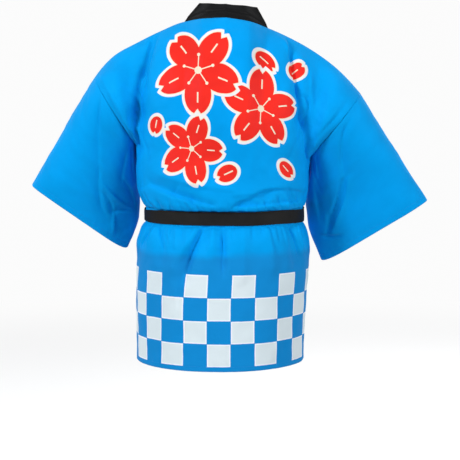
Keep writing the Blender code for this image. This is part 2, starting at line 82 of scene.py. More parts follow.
# The body below the armholes, a row for each level.
RING_COLUMNS = (
    "drop",
    "height",
    "centre",
    "half",
    "back",
    "front",
    "tilt",
    "seam",
    "power",  # 2 is an ellipse, more is squarer
    "sag",  # how much lower the middle of the back hangs
)
RINGS = (
    (0.300, -0.2890, 0.0045, 0.1915, 0.1270, 0.1205, 0.080, 0.285, 2.35, 0.0000),
    (0.345, -0.3330, 0.0060, 0.1935, 0.1275, 0.1210, 0.050, 0.295, 2.35, 0.0010),
    (0.385, -0.3710, 0.0060, 0.1915, 0.1315, 0.1240, 0.030, 0.303, 2.35, 0.0025),
    (0.408, -0.3925, 0.0030, 0.1860, 0.1335, 0.1260, 0.012, 0.308, 2.35, 0.0037),
    (0.420, -0.4035, 0.0015, 0.1815, 0.1275, 0.1215, 0.002, 0.310, 2.35, 0.0044),
    (0.430, -0.4090, 0.0015, 0.1765, 0.1150, 0.1150, 0.000, 0.312, 2.35, 0.0000),
    (0.445, -0.4253, 0.0020, 0.1765, 0.1150, 0.1150, 0.000, 0.312, 2.35, 0.0000),
    (0.460, -0.4422, 0.0025, 0.1765, 0.1150, 0.1150, 0.000, 0.312, 2.35, 0.0000),
    (0.470, -0.4492, 0.0030, 0.1805, 0.1230, 0.1195, 0.002, 0.314, 2.30, 0.0000),
    (0.485, -0.4628, 0.0035, 0.1865, 0.1315, 0.1245, 0.006, 0.315, 2.24, 0.0000),
    (0.515, -0.4898, 0.0035, 0.1930, 0.1400, 0.1300, 0.010, 0.316, 2.15, 0.0000),
    (0.560, -0.5355, 0.0045, 0.1960, 0.1470, 0.1330, 0.008, 0.317, 2.08, 0.0000),
    (0.640, -0.6110, 0.0085, 0.1945, 0.1540, 0.1360, 0.004, 0.317, 2.05, 0.0000),
    (0.720, -0.6885, 0.0100, 0.1920, 0.1570, 0.1390, 0.000, 0.317, 2.05, 0.0000),
    (0.800, -0.7558, 0.0110, 0.1905, 0.1600, 0.1410, 0.000, 0.317, 2.05, 0.0000),
)


# The top edge of the body, over the shoulders and round the neck.
RIDGE_COLUMNS = (
    "across",
    "left_x",
    "left_z",
    "right_x",
    "right_z",
    "back_y",
    "front_y",
)
RIDGE = (
    (0.000, -0.002, 0.0095, -0.002, 0.0095, 0.060, -0.024),
    (0.050, 0.047, 0.0075, -0.051, 0.0020, 0.050, -0.018),
    (0.095, 0.091, 0.0015, -0.096, -0.0125, 0.004, 0.0),
    (0.150, 0.146, -0.0200, -0.149, -0.0360, 0.0, 0.0),
    (0.200, 0.195, -0.0440, -0.197, -0.0630, 0.0, 0.0),
    (0.250, 0.243, -0.0700, -0.243, -0.0960, 0.0, 0.0),
    (0.290, 0.273, -0.0980, -0.275, -0.1260, 0.0, 0.0),
    (0.330, 0.290, -0.1200, -0.3015, -0.1555, 0.0, 0.0),
)

# How far the cloth rounds out between the shoulder and the armhole's level.
BULGE_COLUMNS = ("across", "back", "front")
BULGE = (
    (0.000, 0.033, 0.032),
    (0.060, 0.042, 0.037),
    (0.120, 0.053, 0.043),
    (0.170, 0.047, 0.038),
    (0.215, 0.034, 0.028),
    (0.270, 0.070, 0.060),
    (0.330, 0.085, 0.080),
)

# The lowest point of each armhole.
PIT = {1: (0.1995, -0.030, -0.2690), -1: (-0.1900, -0.030, -0.2950)}

# Each sleeve from the armhole to the cuff: its upper and lower lines and its depth.
SLEEVE_COLUMNS = (
    "along",
    "top_x",
    "top_y",
    "top_z",
    "low_x",
    "low_y",
    "low_z",
    "back",
    "front",
    "taper",
)
SLEEVES = {
    1: (
        (0.00, 0.2900, 0.000, -0.1200, 0.2020, -0.030, -0.2690, 0.085, 0.080, 0.00),
        (0.35, 0.3440, -0.006, -0.2060, 0.1965, -0.064, -0.3560, 0.076, 0.070, 0.25),
        (0.70, 0.3940, -0.018, -0.2890, 0.1985, -0.074, -0.4350, 0.058, 0.054, 0.40),
        (1.00, 0.4395, -0.030, -0.3634, 0.2255, -0.078, -0.5040, 0.044, 0.042, 0.45),
    ),
    -1: (
        (0.00, -0.3015, 0.000, -0.1555, -0.1925, -0.030, -0.2950, 0.085, 0.080, 0.00),
        (0.35, -0.3570, -0.006, -0.2440, -0.1850, -0.064, -0.3780, 0.076, 0.070, 0.25),
        (0.70, -0.4100, -0.018, -0.3240, -0.1920, -0.074, -0.4540, 0.058, 0.054, 0.40),
        (1.00, -0.4598, -0.030, -0.3981, -0.2210, -0.078, -0.5330, 0.044, 0.042, 0.45),
    ),
}

# Where each front ends, beside its collar: metres from the middle, minus is past it.
EDGE_COLUMNS = ("drop", "edge", "inward", "lift")
EDGE = (
    (0.000, 0.095, 0.034, 0.040),
    (0.040, 0.083, 0.040, 0.026),
    (0.090, 0.062, 0.046, 0.012),
    (0.140, 0.038, 0.050, 0.004),
    (0.200, 0.008, 0.050, 0.000),
    (0.300, -0.036, 0.050, 0.000),
    (0.400, -0.068, 0.050, 0.000),
    (0.460, -0.076, 0.050, 0.000),
    (0.600, -0.080, 0.050, 0.000),
    (0.800, -0.082, 0.050, 0.000),
)

# The largest folds as they lie from behind or in front: x and z at both ends, the
# half width, and the height, which is minus for a trough.
BACK_FOLDS = (
    (0.154, -0.030, 0.170, -0.075, 0.013, -0.0050),
    (0.176, -0.080, 0.192, -0.200, 0.014, -0.0080),
    (0.192, -0.200, 0.196, -0.270, 0.014, -0.0060),
    (-0.125, -0.035, -0.158, -0.080, 0.016, 0.0050),
    (-0.150, -0.075, -0.168, -0.210, 0.014, -0.0080),
    (-0.168, -0.210, -0.180, -0.280, 0.014, -0.0050),
    (-0.170, -0.378, -0.090, -0.376, 0.012, -0.0045),
    (-0.090, -0.376, -0.040, -0.398, 0.012, -0.0045),
    (0.046, -0.456, 0.084, -0.512, 0.013, -0.0075),
    (0.084, -0.512, 0.094, -0.550, 0.014, -0.0050),
    (0.070, -0.456, 0.112, -0.530, 0.016, 0.0040),
    (0.010, -0.456, 0.006, -0.520, 0.012, -0.0060),
    (-0.030, -0.456, -0.034, -0.540, 0.018, 0.0035),
    (-0.100, -0.456, -0.104, -0.530, 0.014, 0.0045),
    (-0.142, -0.456, -0.160, -0.525, 0.013, -0.0080),
    (0.142, -0.456, 0.142, -0.512, 0.012, -0.0040),
)
FRONT_FOLDS = (
    (0.158, -0.045, 0.178, -0.130, 0.015, -0.0050),
    (0.176, -0.130, 0.190, -0.250, 0.015, -0.0070),
    (-0.150, -0.070, -0.172, -0.170, 0.015, -0.0060),
    (-0.172, -0.170, -0.182, -0.270, 0.014, -0.0060),
    (0.120, -0.300, 0.080, -0.385, 0.018, -0.0045),
    (-0.125, -0.310, -0.090, -0.392, 0.018, -0.0040),
    (0.110, -0.458, 0.124, -0.560, 0.015, -0.0065),
    (0.060, -0.458, 0.066, -0.520, 0.014, 0.0040),
    (-0.118, -0.458, -0.132, -0.535, 0.014, -0.0060),
    (-0.072, -0.458, -0.078, -0.580, 0.016, 0.0040),
)

# Fine creases in the flat cloth, in millimetres: u and d at its start, middle and end,
# the half width, and how far it moves the cloth. Minus is a trough.
BACK_CREASES = (
    # Pleats held by the belt, from the left side to the right one.
    (286, 462, 276, 500, 280, 560, 5.5, -3), (262, 466, 256, 510, 252, 548, 5, 2),
    (238, 462, 232, 504, 236, 570, 5, -3.2), (216, 466, 216, 500, 222, 540, 4, 1.8),
    (198, 462, 200, 490, 218, 524, 3.4, -3.4), (184, 462, 192, 482, 206, 502, 2.8, -2.4),
    (176, 462, 180, 488, 188, 516, 3.4, 2.2), (166, 462, 148, 494, 140, 520, 4, -3),
    (150, 462, 136, 486, 128, 508, 3.2, -1.8), (132, 460, 126, 474, 124, 494, 3, -1.6),
    (118, 460, 110, 482, 108, 512, 4, 1.6), (100, 459, 98, 472, 96, 488, 3, -1.6),
    (80, 459, 76, 476, 78, 492, 3.2, -1.4), (64, 466, 80, 504, 92, 540, 8, 2.2),
    (48, 461, 66, 508, 82, 566, 4.2, -6.6), (82, 548, 90, 590, 92, 640, 7, -2.4),
    (26, 466, 26, 500, 36, 530, 10, 3.4), (2, 461, 2, 500, 0, 570, 4.6, -4.8),
    (-22, 459, -22, 472, -20, 490, 3.2, -1.6), (-50, 460, -46, 516, -44, 590, 11, 2.2),
    (-68, 458, -66, 472, -64, 492, 3.4, -1.6), (-90, 458, -90, 470, -88, 484, 3, -1.4),
    (-112, 459, -112, 488, -116, 522, 5, -3), (-132, 458, -128, 476, -128, 500, 3.4, -1.6),
    (-150, 459, -151, 482, -154, 512, 7, 2.8), (-172, 459, -176, 494, -188, 536, 4.2, -6),
    (-198, 459, -197, 494, -206, 522, 5, 2.4), (-216, 462, -208, 496, -212, 536, 3.6, -2.4),
    (-248, 462, -240, 510, -244, 566, 5.5, -3.2), (-268, 464, -262, 500, -266, 540, 5, 1.8),
    (-290, 462, -282, 506, -284, 560, 5.5, -2.8),
    # The cloth bloused over the belt.
    (-204, 378, -120, 371, -62, 394, 4.2, -4), (-64, 394, -40, 400, -18, 414, 4.6, -3.4),
    (-22, 384, -48, 380, -82, 378, 8, 2), (-114, 392, -112, 402, -126, 416, 4.6, 3),
    (-152, 386, -156, 396, -156, 418, 5, 2.8), (-102, 394, -98, 406, -104, 420, 3.2, -2.6),
    (-132, 388, -134, 402, -138, 420, 3.4, -2.8), (-170, 390, -172, 406, -178, 422, 3.4, -2.4),
    (-196, 384, -192, 402, -196, 422, 4.2, -2.4), (-226, 380, -222, 402, -230, 424, 5, -2.4),
    (-258, 386, -252, 404, -256, 424, 4.2, -2), (-286, 378, -278, 402, -284, 424, 5, -2.4),
    (-80, 400, -78, 410, -80, 422, 3.4, -1.8), (-58, 402, -54, 410, -50, 422, 3.4, 1.6),
    (-36, 404, -34, 412, -34, 423, 3.2, -1.8), (-8, 400, -10, 408, -12, 422, 3.6, -1.8),
    (12, 402, 12, 410, 14, 423, 4.4, 1.6), (32, 402, 30, 412, 30, 423, 3.4, -2),
    (52, 398, 52, 410, 50, 423, 3.2, -1.6), (72, 394, 68, 406, 58, 422, 3.6, -3.4),
    (88, 396, 80, 404, 74, 416, 4.4, 2.6), (106, 400, 102, 410, 100, 422, 3.4, -1.8),
    (130, 400, 128, 412, 130, 424, 3.4, -2), (162, 404, 158, 411, 156, 422, 3.4, -2.8),
    (188, 402, 176, 408, 166, 418, 4.4, 2.8), (204, 392, 196, 406, 188, 422, 4, -2.8),
    (224, 388, 218, 408, 222, 424, 4.4, -2.4), (246, 376, 238, 402, 246, 424, 5, -2.6),
    (280, 384, 272, 404, 278, 424, 4.5, -2.2), (240, 388, 164, 370, 110, 386, 10, -1.8),
    (148, 420, 114, 382, 90, 346, 6, -1.6), (-196, 420, -162, 364, -138, 328, 6, -1.6),
    # Pulls down from the shoulders and round the armholes.
    (166, 6, 186, 50, 204, 94, 4.6, -7), (198, 70, 216, 144, 231, 232, 5.6, -10.5),
    (230, 214, 262, 276, 268, 316, 5.6, -8), (156, 10, 180, 66, 200, 130, 3.6, -3.6),
    (150, 14, 166, 48, 186, 86, 5, 2), (304, 54, 292, 130, 278, 200, 8, 2.4),
    (284, 190, 268, 236, 270, 270, 5, 2.6), (298, 256, 290, 278, 270, 304, 4, -2.6),
    (228, 250, 210, 290, 190, 322, 6, -1.6), (-112, 6, -136, 26, -162, 52, 6, 2.6),
    (-138, 8, -156, 60, -177, 130, 4.8, -8.2), (-173, 106, -190, 160, -207, 212, 5.6, -10),
    (-204, 190, -232, 262, -268, 312, 5.6, -8), (-268, 312, -250, 352, -234, 398, 5, -3),
    (-190, 126, -205, 144, -208, 204, 3.6, -4.6), (-200, 60, -206, 110, -222, 160, 6, 2.4),
    (-242, 42, -232, 98, -220, 140, 8, -1.4), (-306, 94, -290, 160, -234, 240, 7, -2.2),
    (-204, 214, -184, 254, -164, 298, 6, -1.6),
    # Soft wrinkles under the neck and down the middle.
    (68, 16, 22, 26, -32, 18, 4, -1), (56, 28, 8, 36, -44, 24, 5, 1),
    (78, 92, 84, 158, 80, 236, 12, 1), (-66, 216, -74, 280, -64, 360, 12, 1),
    (6, 94, -6, 178, 2, 264, 14, -0.9),
    # The skirt's long shallow drapes.
    (150, 560, 156, 660, 150, 770, 16, -1.2), (-140, 580, -146, 680, -150, 790, 16, -1.2),
    (-20, 600, -24, 690, -18, 780, 18, 1), (50, 640, 52, 710, 46, 790, 14, -0.9),
    (-80, 660, -84, 720, -80, 795, 14, 0.9), (250, 540, 256, 640, 250, 760, 16, -1.6),
    (-250, 540, -256, 650, -250, 770, 16, -1.6),
    # The bloused cloth's broad dip over the belt.
    (182, 368, 100, 388, 20, 406, 7, -6), (154, 348, 62, 362, -28, 370, 11, 3.6),
    (-28, 410, -90, 404, -200, 398, 5, -4),
)
# The fronts' creases, with u from the middle of the worn coat.
FRONT_CREASES = (
    (288, 462, 280, 506, 284, 556, 5.5, -2.6), (262, 464, 256, 498, 258, 538, 5, 1.8),
    (236, 462, 232, 510, 238, 572, 5.5, -3.4), (208, 462, 204, 490, 206, 520, 4.2, -1.8),
    (184, 462, 182, 512, 190, 586, 6, -3.6), (164, 462, 164, 492, 168, 528, 4.5, 1.8),
    (142, 460, 142, 484, 144, 512, 3.8, -1.7), (112, 460, 116, 508, 126, 566, 5.5, -3),
    (88, 460, 88, 480, 90, 504, 3.8, -1.5), (62, 460, 60, 500, 62, 548, 6, 1.8),
    (-52, 460, -54, 492, -52, 530, 5, -2), (-92, 460, -96, 510, -104, 574, 5.5, -3.2),
    (-120, 460, -120, 486, -122, 514, 4.2, 1.6), (-148, 460, -150, 484, -152, 516, 4, -1.8),
    (-178, 462, -180, 506, -190, 580, 6, -3.6), (-206, 462, -204, 486, -206, 516, 4.2, -1.6),
    (-234, 462, -230, 506, -236, 566, 5.5, -3.2), (-262, 464, -258, 494, -260, 534, 5, 1.8),
    (-288, 462, -282, 504, -286, 552, 5.2, -2.6), (284, 380, 276, 404, 280, 426, 4.8, -2.2),
    (254, 388, 250, 408, 252, 426, 4.2, -1.8), (226, 378, 222, 402, 228, 426, 5, -2.2),
    (196, 394, 192, 410, 194, 426, 4, -1.8), (168, 386, 160, 406, 160, 426, 5, 1.8),
    (140, 394, 134, 410, 134, 426, 3.8, -1.7), (196, 424, 160, 370, 120, 310, 7, -2),
    (150, 426, 120, 386, 92, 340, 6, -1.6), (-286, 384, -278, 406, -282, 426, 4.8, -2.2),
    (-256, 390, -250, 408, -254, 426, 4.2, -1.8), (-226, 380, -222, 404, -228, 426, 5, -2.2),
    (-196, 394, -190, 410, -192, 426, 4, -1.8), (-164, 388, -160, 408, -162, 426, 4.5, 1.8),
    (-136, 396, -132, 410, -132, 426, 3.8, -1.6), (-190, 424, -154, 374, -110, 316, 7, -2),
    (158, 10, 176, 60, 206, 130, 6, -3), (206, 130, 216, 180, 220, 240, 6, -2.8),
    (176, 16, 196, 60, 224, 104, 5, 1.8), (250, 140, 256, 200, 240, 270, 8, -1.8),
    (-150, 12, -172, 70, -202, 140, 6, -3.2), (-202, 140, -212, 190, -214, 250, 6, -2.6),
    (-176, 18, -196, 64, -226, 112, 5, 1.8), (-248, 130, -258, 190, -244, 262, 8, -1.8),
    (130, 150, 116, 220, 108, 300, 13, -1.2), (-126, 140, -116, 220, -106, 290, 13, -1.2),
    (170, 560, 176, 660, 172, 780, 16, -1.4), (-160, 560, -168, 670, -166, 785, 16, -1.4),
    (80, 580, 84, 680, 78, 780, 15, 1.1), (-80, 590, -82, 690, -78, 780, 15, 1.1),
    (250, 560, 254, 650, 250, 760, 15, -1.2), (-250, 560, -254, 660, -250, 765, 15, -1.2),
)
# The sleeves' creases: u goes round from the top line over the back, d down the arm.
SLEEVE_CREASES = {
    1: (
        (92, 20, 119, 74, 137, 134, 7.5, -3.2), (142, 140, 153, 206, 174, 238, 5, -3.4),
        (157, 176, 185, 189, 226, 190, 4.6, 3), (230, 196, 202, 208, 184, 228, 3.6, -3.2),
        (182, 219, 192, 239, 202, 264, 4.4, 2.6), (162, 197, 178, 212, 189, 240, 4, -3),
        (196, 129, 222, 150, 240, 180, 8, -2.6), (204, 42, 192, 89, 190, 137, 6, -2.2),
        (236, 20, 226, 60, 232, 104, 6, -2.6), (262, 14, 258, 50, 262, 90, 5.5, -2.4),
        (386, 170, 372, 196, 352, 220, 5, 2), (396, 186, 376, 210, 366, 240, 5, -2),
        (350, 200, 338, 206, 322, 204, 4.2, -1.8), (340, 40, 350, 84, 346, 130, 6.5, -2.2),
        (310, 18, 318, 60, 314, 110, 6, -2.2), (440, 50, 424, 86, 400, 118, 8, -1.5),
        (470, 130, 452, 170, 448, 216, 8, -1.4),
    ),
    -1: (
        (118, 20, 140, 46, 151, 117, 7.5, -3.2), (148, 139, 169, 196, 203, 237, 4.4, 3.2),
        (157, 131, 179, 180, 196, 207, 5, -3.8), (220, 236, 204, 245, 188, 252, 3.4, -3),
        (222, 230, 204, 238, 188, 244, 3.4, 2.2), (198, 198, 200, 215, 210, 230, 4, -2.6),
        (221, 92, 217, 146, 214, 202, 8, -2.4), (248, 19, 222, 73, 206, 129, 6, -2.2),
        (226, 16, 214, 50, 206, 90, 5.5, -2), (270, 16, 262, 56, 266, 100, 5.8, -2.4),
        (382, 156, 366, 190, 346, 214, 5, 2), (394, 176, 376, 204, 362, 236, 5, -2),
        (344, 228, 330, 234, 316, 240, 3.8, -1.6), (336, 36, 350, 80, 348, 126, 6.5, -2.2),
        (306, 16, 316, 58, 310, 104, 6, -2), (446, 44, 426, 84, 404, 114, 8, -1.5),
        (466, 124, 450, 166, 444, 210, 8, -1.4),
    ),
}


def through(xs, ys, x):
    """A smooth line through a table's points that never swings past them, read at x."""
    xs, ys = np.asarray(xs, float), np.asarray(ys, float)
    step = np.diff(xs)
    rise = np.diff(ys) / step
    slope = np.empty(len(xs))
    slope[0], slope[-1] = rise[0], rise[-1]
    before, after = rise[:-1], rise[1:]
    same = before * after > 0
    total = np.where(same, before + after, 1.0)
    slope[1:-1] = np.where(same, 2 * before * after / total, 0.0)
    x = np.clip(x, xs[0], xs[-1])
    i = np.clip(np.searchsorted(xs, x, side="right") - 1, 0, len(xs) - 2)
    h = step[i]
    t = (x - xs[i]) / h
    start = (1 + 2 * t) * (1 - t) ** 2 * ys[i] + t * (1 - t) ** 2 * h * slope[i]
    end = t * t * (3 - 2 * t) * ys[i + 1] + t * t * (t - 1) * h * slope[i + 1]
    return start + end


def read(table, columns, name, x):
    """One named column of a table, read at x of its first column."""
    rows = np.array(table, float)
    return through(rows[:, 0], rows[:, columns.index(name)], x)


def ease(low, high, x):
    """From 0 to 1 as x goes from low to high, with soft ends."""
    t = np.clip((np.asarray(x, float) - low) / (high - low), 0, 1)
    return t * t * (3 - 2 * t)


def ring(drop, share):
    """Points of the body's ring at this drop. The share of its length runs from the
    middle of the back, and plus goes to the wearer's left."""
    height, centre, half, back, front, tilt = (
        float(read(RINGS, RING_COLUMNS, name, drop)) for name in RING_COLUMNS[1:7]
    )
    power = 2 / float(read(RINGS, RING_COLUMNS, "power", drop))
    sag = float(read(RINGS, RING_COLUMNS, "sag", drop))
    turn = np.linspace(0, 2 * np.pi, 721)
    sine, cosine = np.sin(turn), np.cos(turn)
    x = half * np.sign(sine) * np.abs(sine) ** power
    depth = np.where(cosine > 0, back, front)
    y = depth * np.sign(cosine) * np.abs(cosine) ** power
    length = np.concatenate([[0], np.cumsum(np.hypot(np.diff(x), np.diff(y)))])
    at = np.mod(share, 1.0) * length[-1]
    px, py = np.interp(at, length, x), np.interp(at, length, y)
    pz = height + tilt * px - sag * np.maximum(py, 0.0) / back
    return np.stack([px + centre, py, pz], axis=-1)


def ring_length(drop):
    """How long the body's ring is at this drop."""
    corners = ring(drop, np.linspace(0, 1, 361))
    return float(np.linalg.norm(np.diff(corners, axis=0), axis=1).sum())


def ring_share(side, drop, across):
    """Where a point of the back (side 1) or of the front (side -1) is on its ring."""
    seam = float(read(RINGS, RING_COLUMNS, "seam", drop))
    if side > 0:
        return seam * across / BODY_HALF
    return 0.5 - (0.5 - seam) * across / BODY_HALF


def pull_to_pit(side, points, across, amount):
    """Brings the body's corners under the arms to the armholes' lowest points."""
    corner = ring(PIT_DROP, ring_share(side, PIT_DROP, np.array([-BODY_HALF, BODY_HALF])))
    for arm, here in ((-1, corner[0]), (1, corner[1])):
        weight = ease(0.25, BODY_HALF, across * arm) * amount
        points = points + weight[:, None] * (np.array(PIT[arm]) - here)
    return points


def body(side, drop, across):
    """The smooth body: side 1 is the back and side -1 the fronts."""
    across = np.asarray(across, float)
    if drop >= PIT_DROP:
        points = ring(drop, ring_share(side, drop, across))
        fade = 1 - float(ease(0, 0.035, drop - PIT_DROP))
        return pull_to_pit(side, points, across, fade)
    end = ring(PIT_DROP, ring_share(side, PIT_DROP, across))
    end = pull_to_pit(side, end, across, 1.0)
    out = np.abs(across)
    left = across >= 0
    x, z = (
        np.where(
            left,
            read(RIDGE, RIDGE_COLUMNS, "left_" + axis, out),
            read(RIDGE, RIDGE_COLUMNS, "right_" + axis, out),
        )
        for axis in "xz"
    )
    y = read(RIDGE, RIDGE_COLUMNS, "back_y" if side > 0 else "front_y", out)
    bulge = read(BULGE, BULGE_COLUMNS, "back" if side > 0 else "front", out)
    t = drop / PIT_DROP
    arm = ease(0.205, BODY_HALF, out)
    down = (1 - arm) * t + arm * (1 - np.cos(np.pi * t)) / 2
    swell = (1 - arm) * np.sin(np.pi * t**0.72) + arm * np.sin(np.pi * t)
    start = np.stack([x, y, z], axis=-1)
    points = start + (end - start) * down[:, None]
    points[:, 1] += side * bulge * swell
    return points


def folds(table, x, z):
    """How far the cloth is moved out by a table of folds."""
    moved = np.zeros(len(x))
    for x0, z0, x1, z1, width, height in table:
        dx, dz = x1 - x0, z1 - z0
        long = np.hypot(dx, dz)
        along = ((x - x0) * dx + (z - z0) * dz) / long
        aside = ((x - x0) * dz - (z - z0) * dx) / long
        past = np.maximum(0, np.maximum(-along, along - long))
        moved += height * np.exp(-((aside / width) ** 2) - (past / (1.3 * width)) ** 2)
    return moved


def edge_line(drop):
    """Where the fronts end, how far the collar goes on inwards, and how high it lifts."""
    return tuple(float(read(EDGE, EDGE_COLUMNS, name, drop)) for name in EDGE_COLUMNS[1:])


def front_scale(drop):
    """Metres on the worn body for each metre of 'across' on a front."""
    below = (0.5 - float(read(RINGS, RING_COLUMNS, "seam", max(drop, PIT_DROP)))) / BODY_HALF
    below *= ring_length(max(drop, PIT_DROP))
    return 1 + (below - 1) * min(drop / PIT_DROP, 1.0)


def wrap_lift(drop, across):
    """The left front's lift over the right one, which ends where its collar ends."""
    edge, inward, _ = edge_line(drop)
    end = (inward - edge) / front_scale(drop)
    return WRAP_LIFT * (1 - ease(end + 0.008, end + 0.062, across))


def cloth(side, drop, across, lifted=False):
    """A panel's middle surface and its outward directions."""
    across = np.asarray(across, float)
    small = 0.0004
    low, high = max(drop - small, 0.0), min(drop + small, BODY_LENGTH)
    down = body(side, high, across) - body(side, low, across)
    over = body(side, drop, across + small) - body(side, drop, across - small)
    normal = np.cross(over, down) * side
    normal /= np.linalg.norm(normal, axis=1)[:, None]
    points = body(side, drop, across)
    table = BACK_FOLDS if side > 0 else FRONT_FOLDS
    moved = folds(table, points[:, 0], points[:, 2])
    moved *= ease(0.0, 0.05, side * points[:, 1])
    moved *= 1 - ease(0.27, 0.325, np.abs(across)) * (drop < PIT_DROP + 0.03)
    band = abs(drop - BELT_DROP)
    moved *= np.where(moved < 0, ease(0.006, 0.018, band), ease(0.014, 0.026, band))
    moved += details(side, drop, across)
    if lifted:
        moved = moved + wrap_lift(drop, across)
    return points + normal * moved[:, None], normal


def sleeve(arm, along, turn):
    """A sleeve's ring: the turn starts at the top line and goes over the back."""
    value = {
        name: float(read(SLEEVES[arm], SLEEVE_COLUMNS, name, along))
        for name in SLEEVE_COLUMNS[1:]
    }
    low, top = (np.array([value[end + axis] for axis in "xyz"]) for end in ("low_", "top_"))
    sine, cosine = np.sin(turn), np.cos(turn)
    up = (1 + cosine) / 2
    depth = np.where(sine > 0, value["back"], value["front"])
    points = low + (top - low) * up[:, None]
    points[:, 1] += depth * sine * (1 + value["taper"] * cosine)
    points[:, 2] -= 0.006 * (1 - up) * np.abs(sine) * along
    slack = (1 - up) ** 2.5 * np.sqrt(np.abs(sine)) * np.where(sine > 0, 1.0, 0.6)
    points[:, 2] -= 0.022 * slack * float(ease(0.55, 1.0, along))
    return points


def sleeve_cloth(arm, along, turn):
    """A sleeve's middle surface and its outward directions."""
    small = 0.0005
    low, high = max(along - small, 0.0), min(along + small, 1.0)
    down = sleeve(arm, high, turn) - sleeve(arm, low, turn)
    over = sleeve(arm, along, turn + small) - sleeve(arm, along, turn - small)
    normal = np.cross(down, over) * arm
    normal /= np.linalg.norm(normal, axis=1)[:, None]
    points = sleeve(arm, along, turn)
    ripple = 0.0035 * np.sin(2.2 * turn + 5 * along + arm) * ease(0.1, 0.5, along)
    ripple = ripple * np.abs(np.sin(turn)) * (1 - ease(0.8, 1.0, along))
    ripple = ripple + sleeve_details(arm, along, turn)
    return points + normal * ripple[:, None], normal


def creases(table, u, d):
    """How far a table of creases moves the cloth at its flat places u and d. Each one
    is steeper on one of its sides, as a fold that leans over is."""
    u, d = np.broadcast_arrays(np.asarray(u, float), np.asarray(d, float))
    moved = np.zeros(u.shape)
    share = np.linspace(0, 1, 17)
    for number, row in enumerate(np.array(table) / 1000):
        u0, d0, u1, d1, u2, d2, width, height = row
        bend_u, bend_d = 2 * u1 - (u0 + u2) / 2, 2 * d1 - (d0 + d2) / 2
        first, middle, last = (1 - share) ** 2, 2 * share * (1 - share), share**2
        line_u = first * u0 + middle * bend_u + last * u2
        line_d = first * d0 + middle * bend_d + last * d2
        reach = 3.6 * width
        near = (u > line_u.min() - reach) & (u < line_u.max() + reach)
        near &= (d > line_d.min() - reach) & (d < line_d.max() + reach)
        if not near.any():
            continue
        x, y = u[near], d[near]
        best = np.full(x.shape, 1.0)
        where = np.zeros(x.shape)
        beside = np.zeros(x.shape)
        for i in range(len(share) - 1):
            step_u, step_d = line_u[i + 1] - line_u[i], line_d[i + 1] - line_d[i]
            long = step_u**2 + step_d**2
            at = np.clip(((x - line_u[i]) * step_u + (y - line_d[i]) * step_d) / long, 0, 1)
            gap = np.hypot(x - line_u[i] - at * step_u, y - line_d[i] - at * step_d)
            closer = gap < best
            best = np.where(closer, gap, best)
            where = np.where(closer, (i + at) / 16, where)
            turn = step_u * (y - line_d[i]) - step_d * (x - line_u[i])
            beside = np.where(closer, turn / long**0.5, beside)
        depth = 0.4 + 0.6 * np.sin(np.pi * np.clip(where, 0.0, 1.0)) ** 0.6
        depth *= 1 + 0.18 * np.sin(9 * where + 1.7 * number)
        wide = width * (1.12 + 0.48 * np.tanh(beside / (0.5 * width)))
        moved[near] += CREASE_DEPTH * height * depth * np.exp(-((best / wide) ** 1.6))
    return moved


def waves(u, d, seed, longest, shortest, count=9):
    """A soft unevenness, about one high, that never repeats over a panel."""
    dice = np.random.default_rng(seed)
    u, d = np.broadcast_arrays(np.asarray(u, float), np.asarray(d, float))
    total = np.zeros(u.shape)
    for _ in range(count):
        length = shortest * (longest / shortest) ** dice.random()
        turn, phase = dice.random(2) * 2 * np.pi
        total += np.sin(2 * np.pi * (u * np.cos(turn) + d * np.sin(turn)) / length + phase)
    return total / count**0.5


def pucker(away, place, seed):
    """Small gathers beside a line of stitching that is this far away."""
    along = 0.5 + 0.5 * waves(place, 0.0, seed, 0.016, 0.007, 5)
    line = -0.00012 * np.exp(-((away / 0.0016) ** 2))
    return line + 0.00045 * (along - 0.5) * np.exp(-((away / 0.007) ** 2))


def details(side, drop, across):
    """What the fine creases, seams and hem add to a panel of the body."""
    across = np.asarray(across, float)
    table = BACK_CREASES if side > 0 else FRONT_CREASES
    seam = BODY_HALF - np.abs(across)
    moved = creases(table, across, drop)
    moved += 0.0005 * waves(across, drop, 11 + side, 0.16, 0.05)
    moved += 0.00022 * waves(across, drop, 21 + side, 0.045, 0.02)
    under_belt = float(ease(0.012, 0.020, abs(drop - BELT_DROP)))
    moved *= 0.15 + 0.85 * under_belt
    moved *= ease(0.0, 0.012, seam) if drop > PIT_DROP else ease(0.0, 0.020, seam)
    moved *= float(ease(0.0, 0.020, drop))
    moved -= 0.0002 * np.exp(-((seam / 0.0020) ** 2))
    moved += pucker(seam - 0.002, drop, 31)
    hem = BODY_LENGTH - drop
    if hem < 0.04:
        moved += pucker(np.full(across.shape, abs(hem - HEM)), across, 41 + side)
    return moved


def sleeve_details(arm, along, turn):
    """What the fine creases, seam and hem add to a sleeve."""
    d = along * SLEEVE_LENGTH
    u = np.mod(np.asarray(turn, float) / (2 * np.pi), 1.0) * SLEEVE_ROUND
    moved = creases(SLEEVE_CREASES[arm], u, d)
    wrap = 2 * np.pi * u / SLEEVE_ROUND
    moved += 0.0006 * waves(0.09 * np.sin(wrap), d + 0.03 * np.cos(wrap), 51 + arm, 0.13, 0.05)
    moved += 0.00022 * waves(0.09 * np.cos(wrap), d - 0.09 * np.sin(wrap), 61 + arm, 0.045, 0.02)
    moved *= float(ease(0.0, 0.018, d))
    moved -= 0.0002 * np.exp(-((d / 0.0020) ** 2))
    moved += pucker(np.full(u.shape, d - 0.002), u, 71)
    hem = SLEEVE_LENGTH - d
    if hem < 0.04:
        moved += pucker(np.full(u.shape, abs(hem - HEM)), u, 81)
    return moved


def unit(vectors):
    """Vectors made one long."""
    return vectors / np.maximum(np.linalg.norm(vectors, axis=-1, keepdims=True), 1e-12)


